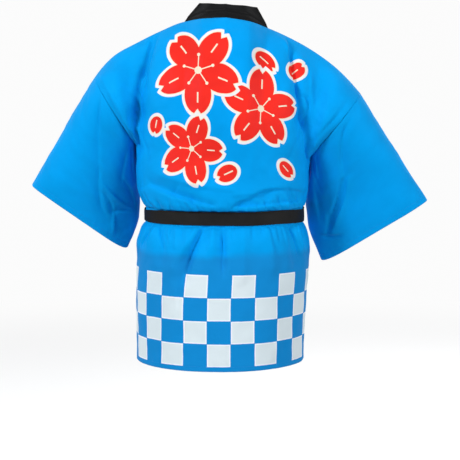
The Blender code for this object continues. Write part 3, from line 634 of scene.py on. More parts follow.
def normals_of(points, outward, round_it):
    """Outward directions of a grid of points."""
    along = np.gradient(points, axis=0)
    if round_it:
        aside = (np.roll(points, -1, axis=1) - np.roll(points, 1, axis=1)) / 2
    else:
        aside = np.gradient(points, axis=1)
    normals = unit(np.cross(along, aside))
    flip = np.sign((normals * outward).sum(axis=-1, keepdims=True))
    return normals * np.where(flip == 0, 1, flip)


def make_piece(name, vertices, faces, materials, places=None, slots=None):
    """A smooth piece of the coat, with the flat cloth's coordinates where it has them."""
    mesh = bpy.data.meshes.new(name)
    mesh.from_pydata(np.asarray(vertices, float).tolist(), [], faces)
    for material in materials:
        mesh.materials.append(material)
    if slots is not None:
        mesh.polygons.foreach_set("material_index", slots)
    mesh.polygons.foreach_set("use_smooth", [True] * len(faces))
    if places is not None:
        flat = mesh.attributes.new("cloth_place", "FLOAT_VECTOR", "POINT")
        flat.data.foreach_set("vector", np.asarray(places, float).ravel())
    mesh.update()
    made = bpy.data.objects.new(name, mesh)
    bpy.context.scene.collection.objects.link(made)
    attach(made, "root")
    return made


def shell(name, points, outward, outer, inner, place, materials, round_it=False):
    """A closed thin shell on a grid. Outer and inner are how far its faces are from the
    middle, and place holds the flat cloth's coordinates for the materials."""
    rows, columns = points.shape[:2]
    normals = normals_of(points, outward, round_it)
    outer = np.broadcast_to(outer, (rows, columns))[:, :, None]
    inner = np.broadcast_to(inner, (rows, columns))[:, :, None]
    faced = points + normals * outer
    backed = points - normals * inner
    vertices = np.concatenate([faced.reshape(-1, 3), backed.reshape(-1, 3)])
    count = rows * columns
    last = columns if round_it else columns - 1
    i, j = np.meshgrid(np.arange(rows - 1), np.arange(last), indexing="ij")
    k = (j + 1) % columns
    a, b = (i * columns + j).ravel(), (i * columns + k).ravel()
    c, d = a + columns, b + columns
    front = np.stack([a, c, d, b], axis=1)
    back = np.stack([a, b, d, c], axis=1) + count
    j = np.arange(last)
    k = (j + 1) % columns
    base = (rows - 1) * columns
    rims = [
        np.stack([j, k, k + count, j + count], axis=1),
        np.stack([base + j, base + j + count, base + k + count, base + k], axis=1),
    ]
    if not round_it:
        a = np.arange(rows - 1) * columns
        b = a + columns
        rims.append(np.stack([a, a + count, b + count, b], axis=1))
        a, b = a + columns - 1, b + columns - 1
        rims.append(np.stack([a, b, b + count, a + count], axis=1))
    faces = np.concatenate([front, back, *rims])
    across_first = vertices[faces[0, 1]] - vertices[faces[0, 0]]
    across_second = vertices[faces[0, 3]] - vertices[faces[0, 0]]
    if np.dot(np.cross(across_first, across_second), normals[0, 0]) < 0:
        faces = faces[:, ::-1]
    slots = np.zeros(len(faces), int)
    slots[len(front) : len(front) + len(back)] = len(materials) - 1
    place = np.broadcast_to(place, (rows, columns, 3)).reshape(-1, 3)
    places = np.concatenate([place, place])
    made = make_piece(name, vertices, faces.tolist(), materials, places, slots.tolist())
    return made, faced, normals


def round_edge(away, radius):
    """How thick a folded edge is, from nearly nothing at its very rim to whole."""
    t = np.clip(np.asarray(away, float) / radius, 0.0, 1.0)
    return 0.25 + 0.75 * np.sqrt(1 - (1 - t) ** 2)


def between(far, points, at):
    """The point of a line that is this far along it."""
    return np.array([np.interp(at, far, points[:, k]) for k in range(3)])


def stitches(name, lines, size, material):
    """Short rounded threads along lines of (points, normals), all in one mesh."""
    length, thick, pitch = size
    vertices, faces = [], []
    ring_turns = np.arange(6) / 6 * 2 * np.pi
    for points, normals in lines:
        run = np.linalg.norm(np.diff(points, axis=0), axis=1)
        far = np.concatenate([[0.0], np.cumsum(run)])
        total = int(far[-1] / pitch)
        for n in range(total):
            ends = (n * pitch + 0.3 * pitch, n * pitch + 0.3 * pitch + length)
            if ends[1] > far[-1]:
                break
            first = between(far, points, ends[0])
            second = between(far, points, ends[1])
            out = unit(between(far, normals, ends[0]))
            ahead = unit(second - first)
            aside = np.cross(out, ahead)
            start = len(vertices)
            for share, swell in ((0.0, 0.35), (0.2, 1.0), (0.8, 1.0), (1.0, 0.35)):
                centre = first + (second - first) * share
                for turn in ring_turns:
                    vertices.append(
                        centre
                        + aside * np.cos(turn) * thick * swell
                        + out * (np.sin(turn) * thick * swell * 0.8)
                    )
            for level in range(3):
                for k in range(6):
                    m = (k + 1) % 6
                    a, b = start + level * 6 + k, start + level * 6 + m
                    faces.append((a, b, b + 6, a + 6))
            faces.append(tuple(start + k for k in range(5, -1, -1)))
            faces.append(tuple(start + 18 + k for k in range(6)))
    return make_piece(name, vertices, faces, [material])


class Field:
    """A number that varies over a material, so that sums can be written as sums."""

    def __init__(self, tree, socket):
        self.tree, self.socket = tree, socket

    def math(self, operation, *others):
        """What a Math node makes of this field and the others."""
        node = self.tree.nodes.new("ShaderNodeMath")
        node.operation = operation
        for slot, value in zip(node.inputs, (self, *others)):
            if isinstance(value, Field):
                self.tree.links.new(value.socket, slot)
            else:
                slot.default_value = value
        return Field(self.tree, node.outputs[0])

    def __add__(self, other):
        return self.math("ADD", other)

    def __sub__(self, other):
        return self.math("SUBTRACT", other)

    def __mul__(self, other):
        return self.math("MULTIPLY", other)

    def __truediv__(self, other):
        return self.math("DIVIDE", other)

    def size(self):
        """Without its sign."""
        return self.math("ABSOLUTE")

    def least(self, other):
        """The lower of the two."""
        return self.math("MINIMUM", other)

    def most(self, other):
        """The higher of the two."""
        return self.math("MAXIMUM", other)

    def ramp(self, low, high, bottom=0.0, top=1.0):
        """From bottom to top as the field goes from low to high, with soft ends."""
        node = self.tree.nodes.new("ShaderNodeMapRange")
        node.interpolation_type = "SMOOTHSTEP"
        node.inputs["From Min"].default_value = low
        node.inputs["From Max"].default_value = high
        node.inputs["To Min"].default_value = bottom
        node.inputs["To Max"].default_value = top
        self.tree.links.new(self.socket, node.inputs["Value"])
        return Field(self.tree, node.outputs[0])


def linear(red, green, blue):
    """A colour as it looks on a screen, 0 to 255, in the numbers that shaders take."""
    seen = np.array([red, green, blue]) / 255
    value = np.where(seen <= 0.04045, seen / 12.92, ((seen + 0.055) / 1.055) ** 2.4)
    return (*map(float, value), 1.0)


def shade(colour, share):
    """A colour made darker or lighter."""
    return (*(min(1.0, part * share) for part in colour[:3]), 1.0)


def blend(tree, factor, first, second):
    """One colour over another where the factor is one."""
    node = tree.nodes.new("ShaderNodeMix")
    node.data_type = "RGBA"
    tree.links.new(factor.socket, node.inputs[0])
    for slot, value in ((node.inputs[6], first), (node.inputs[7], second)):
        if hasattr(value, "is_output"):
            tree.links.new(value, slot)
        else:
            slot.default_value = value
    return node.outputs[2]


def start_material(name):
    """A new material, its tree, its shader, and the flat cloth's coordinates."""
    material = bpy.data.materials.new(name)
    material.use_nodes = True
    tree = material.node_tree
    place = tree.nodes.new("ShaderNodeAttribute")
    place.attribute_name = "cloth_place"
    parts = tree.nodes.new("ShaderNodeSeparateXYZ")
    tree.links.new(place.outputs["Vector"], parts.inputs[0])
    fields = [Field(tree, parts.outputs[k]) for k in range(3)]
    return material, tree, tree.nodes["Principled BSDF"], place.outputs["Vector"], fields


def noise(tree, vector, scale, detail=2.0, roughness=0.5, distortion=0.0):
    """Soft random patches, from 0 to 1."""
    node = tree.nodes.new("ShaderNodeTexNoise")
    node.inputs["Scale"].default_value = scale
    node.inputs["Detail"].default_value = detail
    node.inputs["Roughness"].default_value = roughness
    node.inputs["Distortion"].default_value = distortion
    tree.links.new(vector, node.inputs["Vector"])
    return Field(tree, node.outputs["Fac"])


def weave(fields, pitch):
    """Threads over and under, a pitch apart, from 0 to 1."""
    turn = 2 * np.pi / pitch
    over = (fields[0] * turn).math("SINE")
    under = (fields[1] * turn).math("SINE")
    return over * under * 0.5 + 0.5


def bump(tree, height, strength, distance, under=None):
    """A fine relief, over another one where there is one under it."""
    node = tree.nodes.new("ShaderNodeBump")
    node.inputs["Strength"].default_value = strength
    node.inputs["Distance"].default_value = distance
    tree.links.new(height.socket, node.inputs["Height"])
    if under is not None:
        tree.links.new(under, node.inputs["Normal"])
    return node.outputs["Normal"]


# The flowers printed on the back, from the lowest layer to the top one: u and d of
# the middle, from there to a petal's end, the turn, and how many petals.
FLOWERS = (
    (-0.064, 0.062, 0.056, 2.60, 1),
    (-0.148, 0.092, 0.050, 4.05, 1),
    (0.158, 0.206, 0.052, 1.30, 1),
    (-0.040, 0.322, 0.056, 0.45, 1),
    (-0.140, 0.300, 0.050, 2.30, 1),
    (0.076, 0.288, 0.076, 0.62, 5),
    (-0.086, 0.186, 0.088, 0.95, 5),
    (0.060, 0.114, 0.096, 0.30, 5),
)
PRINT_RIM = (0.0016, 0.0068)  # how far the cream and then the white reach


def petal(x, y, size):
    """How far a place is outside a petal with a notched tip that points along x."""
    away = y.size()
    long = (x - 0.56 * size) / (0.44 * size)
    wide = away / (0.325 * size)
    oval = ((long * long + wide * wide).math("SQRT") - 1.0) * (0.34 * size)
    notch = (x - away * 1.3 - 0.88 * size) * 0.6
    return oval.most(notch)


def folded(angle, sectors, radius):
    """A place by its nearest sector's middle line: along it, and aside from it."""
    half = np.pi / sectors
    turned = angle.math("WRAP", half, -half)
    return radius * turned.math("COSINE"), radius * turned.math("SINE")


def flower_fields(fields, u, d, size, turn, petals):
    """How far a place is outside one flower's petals, and outside its cream lines."""
    x, y = fields[0] - u, fields[1] - d
    if petals == 1:
        along = x * float(np.cos(turn)) + y * float(np.sin(turn))
        aside = y * float(np.cos(turn)) - x * float(np.sin(turn))
        slit = (aside.size() - 0.026 * size).most((along - 0.50 * size).size() - 0.20 * size)
        return petal(along, aside, size), slit
    radius = (x * x + y * y).math("SQRT")
    angle = y.math("ARCTAN2", x) - turn
    along, aside = folded(angle, petals, radius)
    leaf = petal(along, aside, size).least(radius - 0.19 * size)
    slit = (aside.size() - 0.018 * size).most((along - 0.62 * size).size() - 0.12 * size)
    along, aside = folded(angle + np.pi / petals, petals, radius)
    thread = (aside.size() - 0.012 * size).most((along - 0.20 * size).size() - 0.13 * size)
    dot_x = along - 0.36 * size
    dot = (dot_x * dot_x + aside * aside).math("SQRT") - 0.036 * size
    middle = (radius - 0.085 * size).least(dot)
    return leaf, slit.least(thread).least(middle)


# The checks above the hem: rows and columns of squares.
CHECK_ROWS = 4
CHECK_ROW = 0.0502
CHECK_LOW = 0.0105  # plain cloth below the lowest row
CHECK_COLUMN = 0.0500
BLUE = linear(6, 157, 234)
# Painted shade: a darker blue for low on the body, as thin cloth looks with something dark behind
# it.
SHOW_THROUGH_SHADE_BLUE = linear(20, 134, 204)
WHITE = linear(214, 226, 231)
RIM_LIGHT = linear(238, 240, 247)
RED = linear(242, 46, 32)
CREAM = linear(236, 222, 196)
RIM_WHITE = linear(232, 230, 230)
GLOSS = (0.03, 0.52, 1.0, 1.0)  # the dyed film tints what it mirrors


def cloth_looks(name, printed, inside):
    """Thin smooth polyester, dyed blue. The printed one has the flowers and checks, and painted
    shade that darkens its blue low on the body.
    """
    material, tree, shader, place, fields = start_material(name)
    cloudy = noise(tree, place, 9.0, 3.0)
    mottle = noise(tree, place, 160.0, 2.0)
    colour = blend(tree, cloudy.ramp(0.30, 0.70), shade(BLUE, 0.90), BLUE)
    height = fields[2]
    printed_part = None
    if printed:
        # Painted shade: below about a quarter metre over the hem the blue turns darker, with a
        # soft edge.
        edge = height + (cloudy - 0.5) * 0.03
        colour = blend(tree, edge.ramp(0.262, 0.243), colour, SHOW_THROUGH_SHADE_BLUE)
        away = fields[0] - 0.0030 - (height - 0.03) * 0.012
        side = away.math("SIGN")
        away = away.size()
        away = away - away.ramp(0.05, 0.13) * 0.0049 + away.ramp(0.13, 0.175) * 0.0046
        away = away + away.ramp(0.18, 0.225) * 0.003
        column = (away * side + CHECK_COLUMN / 2) / CHECK_COLUMN
        row = (height - CHECK_LOW) / CHECK_ROW
        odd = (column.math("FLOOR") + row.math("FLOOR")) * 0.5
        white = (odd - odd.math("FLOOR")).ramp(0.30, 0.20)
        middle_u = (column - column.math("FLOOR") - 0.5).size() * CHECK_COLUMN
        middle_v = (row - row.math("FLOOR") - 0.5).size() * CHECK_ROW
        rim = (middle_u - CHECK_COLUMN / 2).most(middle_v - CHECK_ROW / 2)
        rim = rim + (mottle - 0.5) * 0.0006
        crisp = rim.ramp(-0.0002, -0.0008)
        top = CHECK_LOW + CHECK_ROWS * CHECK_ROW
        band = height.ramp(CHECK_LOW - 0.0001, CHECK_LOW + 0.0001)
        band = band * height.ramp(top + 0.0001, top - 0.0001)
        pale = white * crisp * band
        square = blend(tree, rim.ramp(-0.0036, -0.0024), WHITE, RIM_LIGHT)
        colour = blend(tree, pale, colour, square)
        red = blend(tree, cloudy.ramp(0.35, 0.65), shade(RED, 0.88), RED)
        printed_part = pale
        for flower in FLOWERS:
            petals, lines = flower_fields(fields, *flower)
            petals = petals + (mottle - 0.5) * 0.0005
            white_part = petals.ramp(PRINT_RIM[1] + 0.0003, PRINT_RIM[1] - 0.0003)
            cream_part = petals.ramp(PRINT_RIM[0] + 0.0008, PRINT_RIM[0] - 0.0004)
            red_part = petals.ramp(0.0003, -0.0003) * lines.ramp(-0.0002, 0.0003)
            colour = blend(tree, white_part, colour, RIM_WHITE)
            colour = blend(tree, cream_part, colour, CREAM)
            colour = blend(tree, red_part, colour, red)
            printed_part = printed_part.most(white_part)
    if inside:
        colour = blend(tree, mottle.ramp(0.2, 0.8, 0.42, 0.50), colour, linear(70, 150, 205))
    tree.links.new(colour, shader.inputs["Base Color"])
    rough = cloudy.ramp(0.2, 0.8, 0.44, 0.54)
    if printed_part is not None:
        rough = rough + printed_part * 0.08
    tree.links.new(rough.socket, shader.inputs["Roughness"])
    shader.inputs["Specular IOR Level"].default_value = 0.12
    shader.inputs["Specular Tint"].default_value = GLOSS
    paper = noise(tree, place, 34.0, 4.0, 0.55, 0.6)
    crumple = noise(tree, place, 110.0, 2.0, 0.5, 0.3)
    normal = bump(tree, paper, 0.30, 0.0022)
    normal = bump(tree, crumple, 0.16, 0.0008, normal)
    if printed_part is not None:
        normal = bump(tree, printed_part, 0.35, 0.00012, normal)
    normal = bump(tree, weave(fields, 0.0009), 0.35, 0.00008, normal)
    tree.links.new(normal, shader.inputs["Normal"])
    return material


def black_looks(name, shown, sheen, rough_at, pitch):
    """Closely woven black cotton and polyester, with a little sheen."""
    material, tree, shader, place, fields = start_material(name)
    cloudy = noise(tree, place, 22.0, 3.0)
    threads = weave(fields, pitch)
    whole = linear(*shown)
    base = blend(tree, cloudy.ramp(0.3, 0.7), shade(whole, 0.55), whole)
    # Painted highlight: the weave's raised thread crowns are made lighter in the colour.
    colour = blend(tree, threads.ramp(0.62, 1.0, 0.0, 0.5), base, shade(whole, 1.7))
    tree.links.new(colour, shader.inputs["Base Color"])
    rough = cloudy.ramp(0.2, 0.8, rough_at - 0.06, rough_at + 0.06)
    tree.links.new(rough.socket, shader.inputs["Roughness"])
    shader.inputs["Specular IOR Level"].default_value = 0.16
    shader.inputs["Sheen Weight"].default_value = sheen
    shader.inputs["Sheen Roughness"].default_value = 0.4
    soft = noise(tree, place, 60.0, 3.0, 0.5, 0.4)
    normal = bump(tree, soft, 0.35, 0.0014)
    normal = bump(tree, threads, 0.55, 0.00012, normal)
    tree.links.new(normal, shader.inputs["Normal"])
    return material


def thread_looks(name, shown):
    """Twisted sewing thread."""
    material, tree, shader, _, _ = start_material(name)
    spot = tree.nodes.new("ShaderNodeTexCoord")
    twist = noise(tree, spot.outputs["Object"], 1400.0, 1.0)
    light = tuple(min(1.0, c * 1.25 + 0.004) for c in linear(*shown)[:3]) + (1.0,)
    colour = blend(tree, twist.ramp(0.4, 0.6), linear(*shown), light)
    tree.links.new(colour, shader.inputs["Base Color"])
    shader.inputs["Roughness"].default_value = 0.45
    normal = bump(tree, twist, 0.4, 0.0001)
    tree.links.new(normal, shader.inputs["Normal"])
    return material


coat_face = cloth_looks("coat_face", True, False)
coat_inside = cloth_looks("coat_inside", True, True)
sleeve_face = cloth_looks("sleeve_face", False, False)
sleeve_inside = cloth_looks("sleeve_inside", False, True)
collar_face = black_looks("collar_face", (15, 15, 16), 0.0, 0.50, 0.0008)
belt_face = black_looks("belt_face", (27, 26, 25), 0.02, 0.62, 0.0011)
blue_thread = thread_looks("blue_thread", (12, 118, 196))
black_thread = thread_looks("black_thread", (26, 26, 27))


def steps(*parts):
    """Numbers from the first part's start on, each part going evenly to its end."""
    made = [np.array([parts[0]])]
    for end, count in parts[1:]:
        made.append(np.linspace(made[-1][-1], end, count + 1)[1:])
    return np.concatenate(made)


def panel_drops():
    """The rows of the body's grid, closer beside the belt and the hem."""
    start = np.array([0.0, EDGE_STRIP, 0.0012, 0.0028])
    chest = steps(0.006, (0.340, 78), (0.375, 11), (0.432, 25), (0.458, 6))
    skirt = steps(0.461, (0.484, 11), (0.560, 24), (BODY_LENGTH - 0.019, 40))
    return np.concatenate([start, chest, skirt, BODY_LENGTH - HEM_ROWS])


BACK_COLUMNS = steps(0.0, (0.215, 86), (0.3285, 20))


def columns_between(start, end, count):
    """Even columns, with one more close beside each end."""
    even = np.linspace(start, end, count)
    sign = np.sign(end - start)
    columns = np.concatenate([even, [start + EDGE_STRIP * sign, end - EDGE_STRIP * sign]])
    return np.sort(columns)[:: int(sign)]


HEIGHT_DROPS = np.linspace(PIT_DROP, BODY_LENGTH, 101)
HEIGHTS = np.array([float(read(RINGS, RING_COLUMNS, "height", d)) for d in HEIGHT_DROPS])


def above_hem(drop):
    """How high a place on the body is over the hem, along the cloth."""
    if drop < PIT_DROP:
        return float(HEIGHTS[0] - HEIGHTS[-1] + PIT_DROP - drop)
    return float(np.interp(drop, HEIGHT_DROPS, HEIGHTS) - HEIGHTS[-1])


HEM_SEAM = 0.317  # the side seam's share of the ring at the hem
BACK_STRETCH = ring_length(BODY_LENGTH) * HEM_SEAM / BODY_HALF
FRONT_STRETCH = front_scale(BODY_LENGTH) / BACK_STRETCH


def shoulder_meet(drop, across):
    """How far back a front's top goes, to meet the back's edge beside the collar."""
    out = np.abs(across)
    back_y = read(RIDGE, RIDGE_COLUMNS, "back_y", out)
    front_y = read(RIDGE, RIDGE_COLUMNS, "front_y", out)
    return (back_y - front_y) * (1 - float(ease(0.0, 0.030, drop)))


def turned_in(hem):
    """How much thicker the cloth is where it is turned in, this far from its edge."""
    return 0.0007 * (1 - ease(HEM - 0.0008, HEM + 0.0008, hem))


def panel(name, side, arm, materials):
    """The back, or the front of one arm's side, as a thin sheet."""
    rows, outs, places, hems = [], [], [], []
    limit = BODY_HALF - SEAM_SPACE
    for drop in panel_drops():
        if side > 0:
            across = np.concatenate([-BACK_COLUMNS[:0:-1], BACK_COLUMNS])
            ends = [limit - EDGE_STRIP, limit]
            across = np.concatenate([[-ends[1], -ends[0]], across, ends])
            row, out = cloth(1, drop, across)
            u = across
        else:
            edge, _, _ = edge_line(drop)
            inner = edge / front_scale(drop) + SEAM_SPACE
            across = columns_between(inner, limit, 110)
            row, out = cloth(-1, drop, across * arm, lifted=arm > 0)
            row[:, 1] += shoulder_meet(drop, across)
            u = arm * (BODY_HALF + (BODY_HALF - across) * FRONT_STRETCH)
        row[:, 1] += side * TOP_SPACE * (drop < PIT_DROP)
        rows.append(row)
        outs.append(out)
        v = np.full(len(u), above_hem(drop))
        places.append(np.stack([u, np.full(len(u), drop), v], axis=1))
        hems.append(np.full(len(u), BODY_LENGTH - drop))
    hem = np.array(hems)
    outer = CLOTH / 2 * round_edge(hem, FOLD_ROUND)
    inner = outer + turned_in(hem)
    points, outward, places = map(np.array, (rows, outs, places))
    return shell(name, points, outward, outer, inner, places, materials)


def sleeve_rows():
    """How far along a sleeve its rows are, closer beside the seam and the hem."""
    seam = [0.0002, 0.0007, 0.004, 0.008, 0.014]
    middle = np.linspace(0.022, 0.928, 92)
    return np.concatenate([seam, middle, 1 - HEM_ROWS / SLEEVE_LENGTH])


def sleeve_panel(name, arm, materials):
    """A sleeve as one thin tube, hemmed at the cuff."""
    far = sleeve_rows()
    turns = 2 * np.pi * np.arange(216) / 216
    turns = turns + 0.12 * np.sin(2 * turns)
    rows, outs, places = [], [], []
    for along in far:
        row, out = sleeve_cloth(arm, along, turns)
        rows.append(row)
        outs.append(out)
        u = turns / (2 * np.pi) * SLEEVE_ROUND
        d = np.full(len(u), along * SLEEVE_LENGTH)
        places.append(np.stack([u, d, SLEEVE_LENGTH - d], axis=1))
    hem = np.repeat((1 - far)[:, None] * SLEEVE_LENGTH, len(turns), axis=1)
    outer = CLOTH / 2 * round_edge(hem, FOLD_ROUND)
    inner = outer + turned_in(hem)
    points, outward, places = map(np.array, (rows, outs, places))
    return shell(name, points, outward, outer, inner, places, materials, True)


def collar_rows():
    """The collar's sections from the left hem round the neck to the right hem."""
    levels = list(np.linspace(BODY_LENGTH, 0.036, 200)) + [0.032, 0.027, 0.022, 0.018, 0.014]
    rows = [("left", drop) for drop in levels]
    rows += [("neck", across) for across in np.linspace(0.094, -0.094, 60)]
    rows += [("right", drop) for drop in levels[::-1]]
    return rows


def collar_section(kind, at, shares):
    """Points from the seam (share 0) to the free edge (share 1)."""
    if kind == "neck":
        seam = body(1, 0.0, np.array([at]))[0]
        out = abs(at) / NECK_HALF
        lean, rise = (0.36, 0.011) if at > 0 else (0.26, 0.016)
        inward = np.array([-lean * at, -0.032 + 0.022 * out**2, 0.029 + rise * out**2])
        points = seam + inward * shares[:, None]
        points[:, 2] += 0.0002 + (WALL / 2 + SEAM_GAP + 0.0004) * ease(0.0, 0.12, shares)
        points[:, 1] += 0.003 * np.sin(np.pi * shares) * (1 - out**2)
        return points
    edge, inward, lift = edge_line(at)
    scale = front_scale(at)
    left = kind == "left"
    if not left:
        upright = 1 - float(ease(0.0, 0.09, at))
        inward -= 0.009 * upright
        lift += 0.006 * upright
    stations = (edge - 0.0001 - SEAM_GAP * ease(0.0, 0.12, shares) - inward * shares) / scale
    if left:
        points, _ = cloth(-1, at, stations, lifted=True)
    else:
        points, _ = cloth(-1, at, -stations)
    points[:, 1] -= 0.8 * SEAM_GAP * (at < PIT_DROP) * ease(0.0, 0.12, shares)
    points[:, 2] += lift * shares
    stand = 1 - float(ease(0.0, 0.09, at))
    points[:, 2] += 0.0002 * stand + (WALL / 2 + SEAM_GAP) * stand * ease(0.0, 0.12, shares)
    return points


# How far across the collar its columns are, from its seam to its free edge.
COLLAR_SHARES = np.concatenate(
    [[0.0, 0.012, 0.03, 0.07], np.linspace(0.12, 0.88, 19), [0.93, 0.97, 0.988, 1.0]]
)


def collar_piece():
    """The collar band, bent where it stands over the nape."""
    points = np.array([collar_section(kind, at, COLLAR_SHARES) for kind, at in collar_rows()])
    points = np.concatenate([points[:1] * 1.0, points, points[-1:]])
    for end, inside in ((0, 2), (-1, -3)):
        way = unit(points[end] - points[inside])
        points[end] = points[end] + way * 0.0006
    step = np.linalg.norm(np.diff(points[:, 13], axis=0), axis=1)
    far = np.concatenate([[0.0], np.cumsum(step)])
    along = np.gradient(points, axis=0)
    aside = np.gradient(points, axis=1)
    outward = unit(np.cross(aside, along))
    away = COLLAR_WIDTH * np.minimum(COLLAR_SHARES, 1 - COLLAR_SHARES)
    rim = round_edge(away, 0.0016)
    ends = round_edge(np.minimum(far, far[-1] - far), FOLD_ROUND)
    stitched = 0.00035 * np.exp(-(((away - 0.0030) / 0.0010) ** 2))
    middle = 0.00015 * waves(far[:, None], COLLAR_SHARES[None, :] * COLLAR_WIDTH, 91, 0.06, 0.02)
    nape = np.clip((far - far[-1] / 2) / 0.11, -1.0, 1.0)[:, None]
    above = COLLAR_WIDTH * COLLAR_SHARES[None, :] - 0.027 * (1 - nape**2)
    bend = np.exp(-((above / np.where(above > 0, 0.0028, 0.0075)) ** 2)) * (1 - nape**4)
    middle = middle + 0.0026 * bend
    outer = (0.0009 * rim - stitched)[None, :] * ends[:, None] + middle * (away > 0.002)
    inner = 0.0009 * rim[None, :] * ends[:, None] - 0.0026 * bend
    u = np.broadcast_to(COLLAR_SHARES[None, :] * COLLAR_WIDTH, outer.shape)
    d = np.broadcast_to(far[:, None], outer.shape)
    place = np.stack([u, d, u * 0], axis=-1)
    return shell("collar_cloth", points, outward, outer, inner, place, [collar_face])


def belt_path(share, height, out):
    """A point of the belt: outside both fronts where they lie over each other."""
    points = ring(BELT_DROP, share)
    near = ring(BELT_DROP, share + 0.002) - ring(BELT_DROP, share - 0.002)
    normal = np.stack([-near[:, 1], near[:, 0], np.zeros(len(near))], axis=1)
    normal /= np.linalg.norm(normal, axis=1)[:, None]
    if np.dot(normal[0], points[0]) < 0:
        normal = -normal
    seam = float(read(RINGS, RING_COLUMNS, "seam", BELT_DROP))
    across = (0.5 - np.mod(share, 1.0)) * BODY_HALF / (0.5 - seam)
    edge, inward, _ = edge_line(BELT_DROP)
    left_end = (inward - edge) / front_scale(BELT_DROP)
    both = (1 - ease(left_end + 0.008, left_end + 0.062, across)) * ease(
        -left_end - 0.07, -left_end - 0.012, across
    )
    front = (np.mod(share, 1.0) > seam) & (np.mod(share, 1.0) < 1 - seam)
    lift = out + (WRAP_LIFT + 0.0003) * np.where(front, both, 0.0)
    lift = lift + 0.0008 * np.abs(np.sin(2 * np.pi * share)) ** 4
    points = points + normal * lift[:, None]
    curl = np.exp(-(((np.mod(share, 1.0) - 0.235) / 0.05) ** 2))
    points[:, 2] += height * (1 - 0.2 * curl) - 0.0015 * curl
    return points, normal


def belt_piece():
    """The belt's band round the waist."""
    share = np.arange(360) / 360
    upper = [0.3, 0.6, 0.84, 0.94, 0.985, 1]
    heights = BELT_WIDTH / 2 * np.array([-share for share in upper[::-1]] + [0] + upper)
    rows, outs, places, outer = [], [], [], []
    round_ = ring_length(BELT_DROP)
    for height in heights:
        points, out = belt_path(share, height, BELT_MIDDLE)
        wrap = 2 * np.pi * share
        soft = waves(0.16 * np.sin(wrap), height + 0.16 * np.cos(wrap), 101, 0.05, 0.018)
        points[:, 2] += 0.0006 * waves(0.16 * np.sin(wrap), 0.16 * np.cos(wrap), 102, 0.3, 0.12)
        rows.append(points)
        outs.append(out)
        away = BELT_WIDTH / 2 - abs(height)
        pressed = 0.00030 * np.exp(-(((away - 0.0028) / 0.0008) ** 2))
        soft = 0.00022 * soft * (away > 0.001)
        outer.append(0.00075 * round_edge(away, 0.0014) - pressed + soft)
        places.append(np.stack([share * round_, np.full(len(share), height), share * 0], axis=1))
    rim = round_edge(BELT_WIDTH / 2 - np.abs(heights), 0.0014)
    inner = np.repeat((0.00065 * rim)[:, None], len(share), axis=1)
    points, outward, outer, places = map(np.array, (rows, outs, outer, places))
    return shell("belt_cloth", points, outward, outer, inner, places, [belt_face], True)


KNOT_CENTRE = (0.006, 0.0, -0.4255)
KNOT_HALF = (0.023, 0.0095, 0.0195)
# Folds in the knot: where each one crosses its middle, its slant, half width and depth.
KNOT_FOLDS = (
    (-0.0150, 0.30, 0.0016, 0.0017),
    (0.0135, 0.34, 0.0016, 0.0018),
    (-0.0075, 0.42, 0.0013, 0.0009),
    (0.0005, 0.36, 0.0014, 0.0011),
    (0.0072, 0.28, 0.0012, 0.0008),
)


def knot_piece():
    """One pull of the belt wrapped over the band: a soft upright cushion of folds."""
    front = float(belt_path(np.array([0.5]), 0.0, BELT_FACE)[0][0, 1])
    count = 96  # places round each level
    turns = 2 * np.pi * np.arange(count) / count
    levels = np.sin(np.linspace(-np.pi / 2, np.pi / 2, 45))
    vertices, faces, places = [], [], []
    for number, level in enumerate(levels):
        swell = max(max(1 - abs(level) ** 4, 0.0) ** 0.25, 0.45)
        if number in (0, len(levels) - 1):
            swell *= 0.86
        for turn in turns:
            sine, cosine = np.sin(turn), np.cos(turn)
            x = KNOT_HALF[0] * swell * np.sign(cosine) * abs(cosine) ** 0.6
            y = KNOT_HALF[1] * swell * np.sign(sine) * abs(sine) ** 0.6
            z = KNOT_HALF[2] * level
            dent = 0.0
            for at, slant, width, depth in KNOT_FOLDS:
                gap = (x - at - slant * z) / width
                dent += depth * np.exp(-abs(gap) ** 1.5) * (1.2 - 0.5 * abs(level))
            bulge = 0.0009 * np.cos((x - 0.34 * z) / 0.0135 * 2.0)
            y = y + (dent - bulge) * max(0.0, -sine) ** 0.5
            x_at = KNOT_CENTRE[0] + x + 0.003 * level
            y_at = front - KNOT_HALF[1] - SEAM_GAP + y
            vertices.append((x_at, y_at, KNOT_CENTRE[2] + z))
            places.append((x - 0.34 * z, z + y, 0.0))
    last = (len(levels) - 1) * count
    for i in range(len(levels) - 1):
        for j in range(count):
            k = (j + 1) % count
            a, b = i * count, (i + 1) * count
            faces.append((a + j, a + k, b + k, b + j))
    for base, flip in ((0, True), (last, False)):
        ringed = np.array(vertices[base : base + count])
        centre = len(vertices)
        vertices.append(tuple(ringed.mean(axis=0)))
        places.append((0.0, float(ringed[0, 2]), 0.0))
        for j in range(count):
            k = (j + 1) % count
            faces.append((base + k, base + j, centre) if flip else (base + j, base + k, centre))
    return make_piece("belt_knot_cloth", vertices, faces, [belt_face], places)


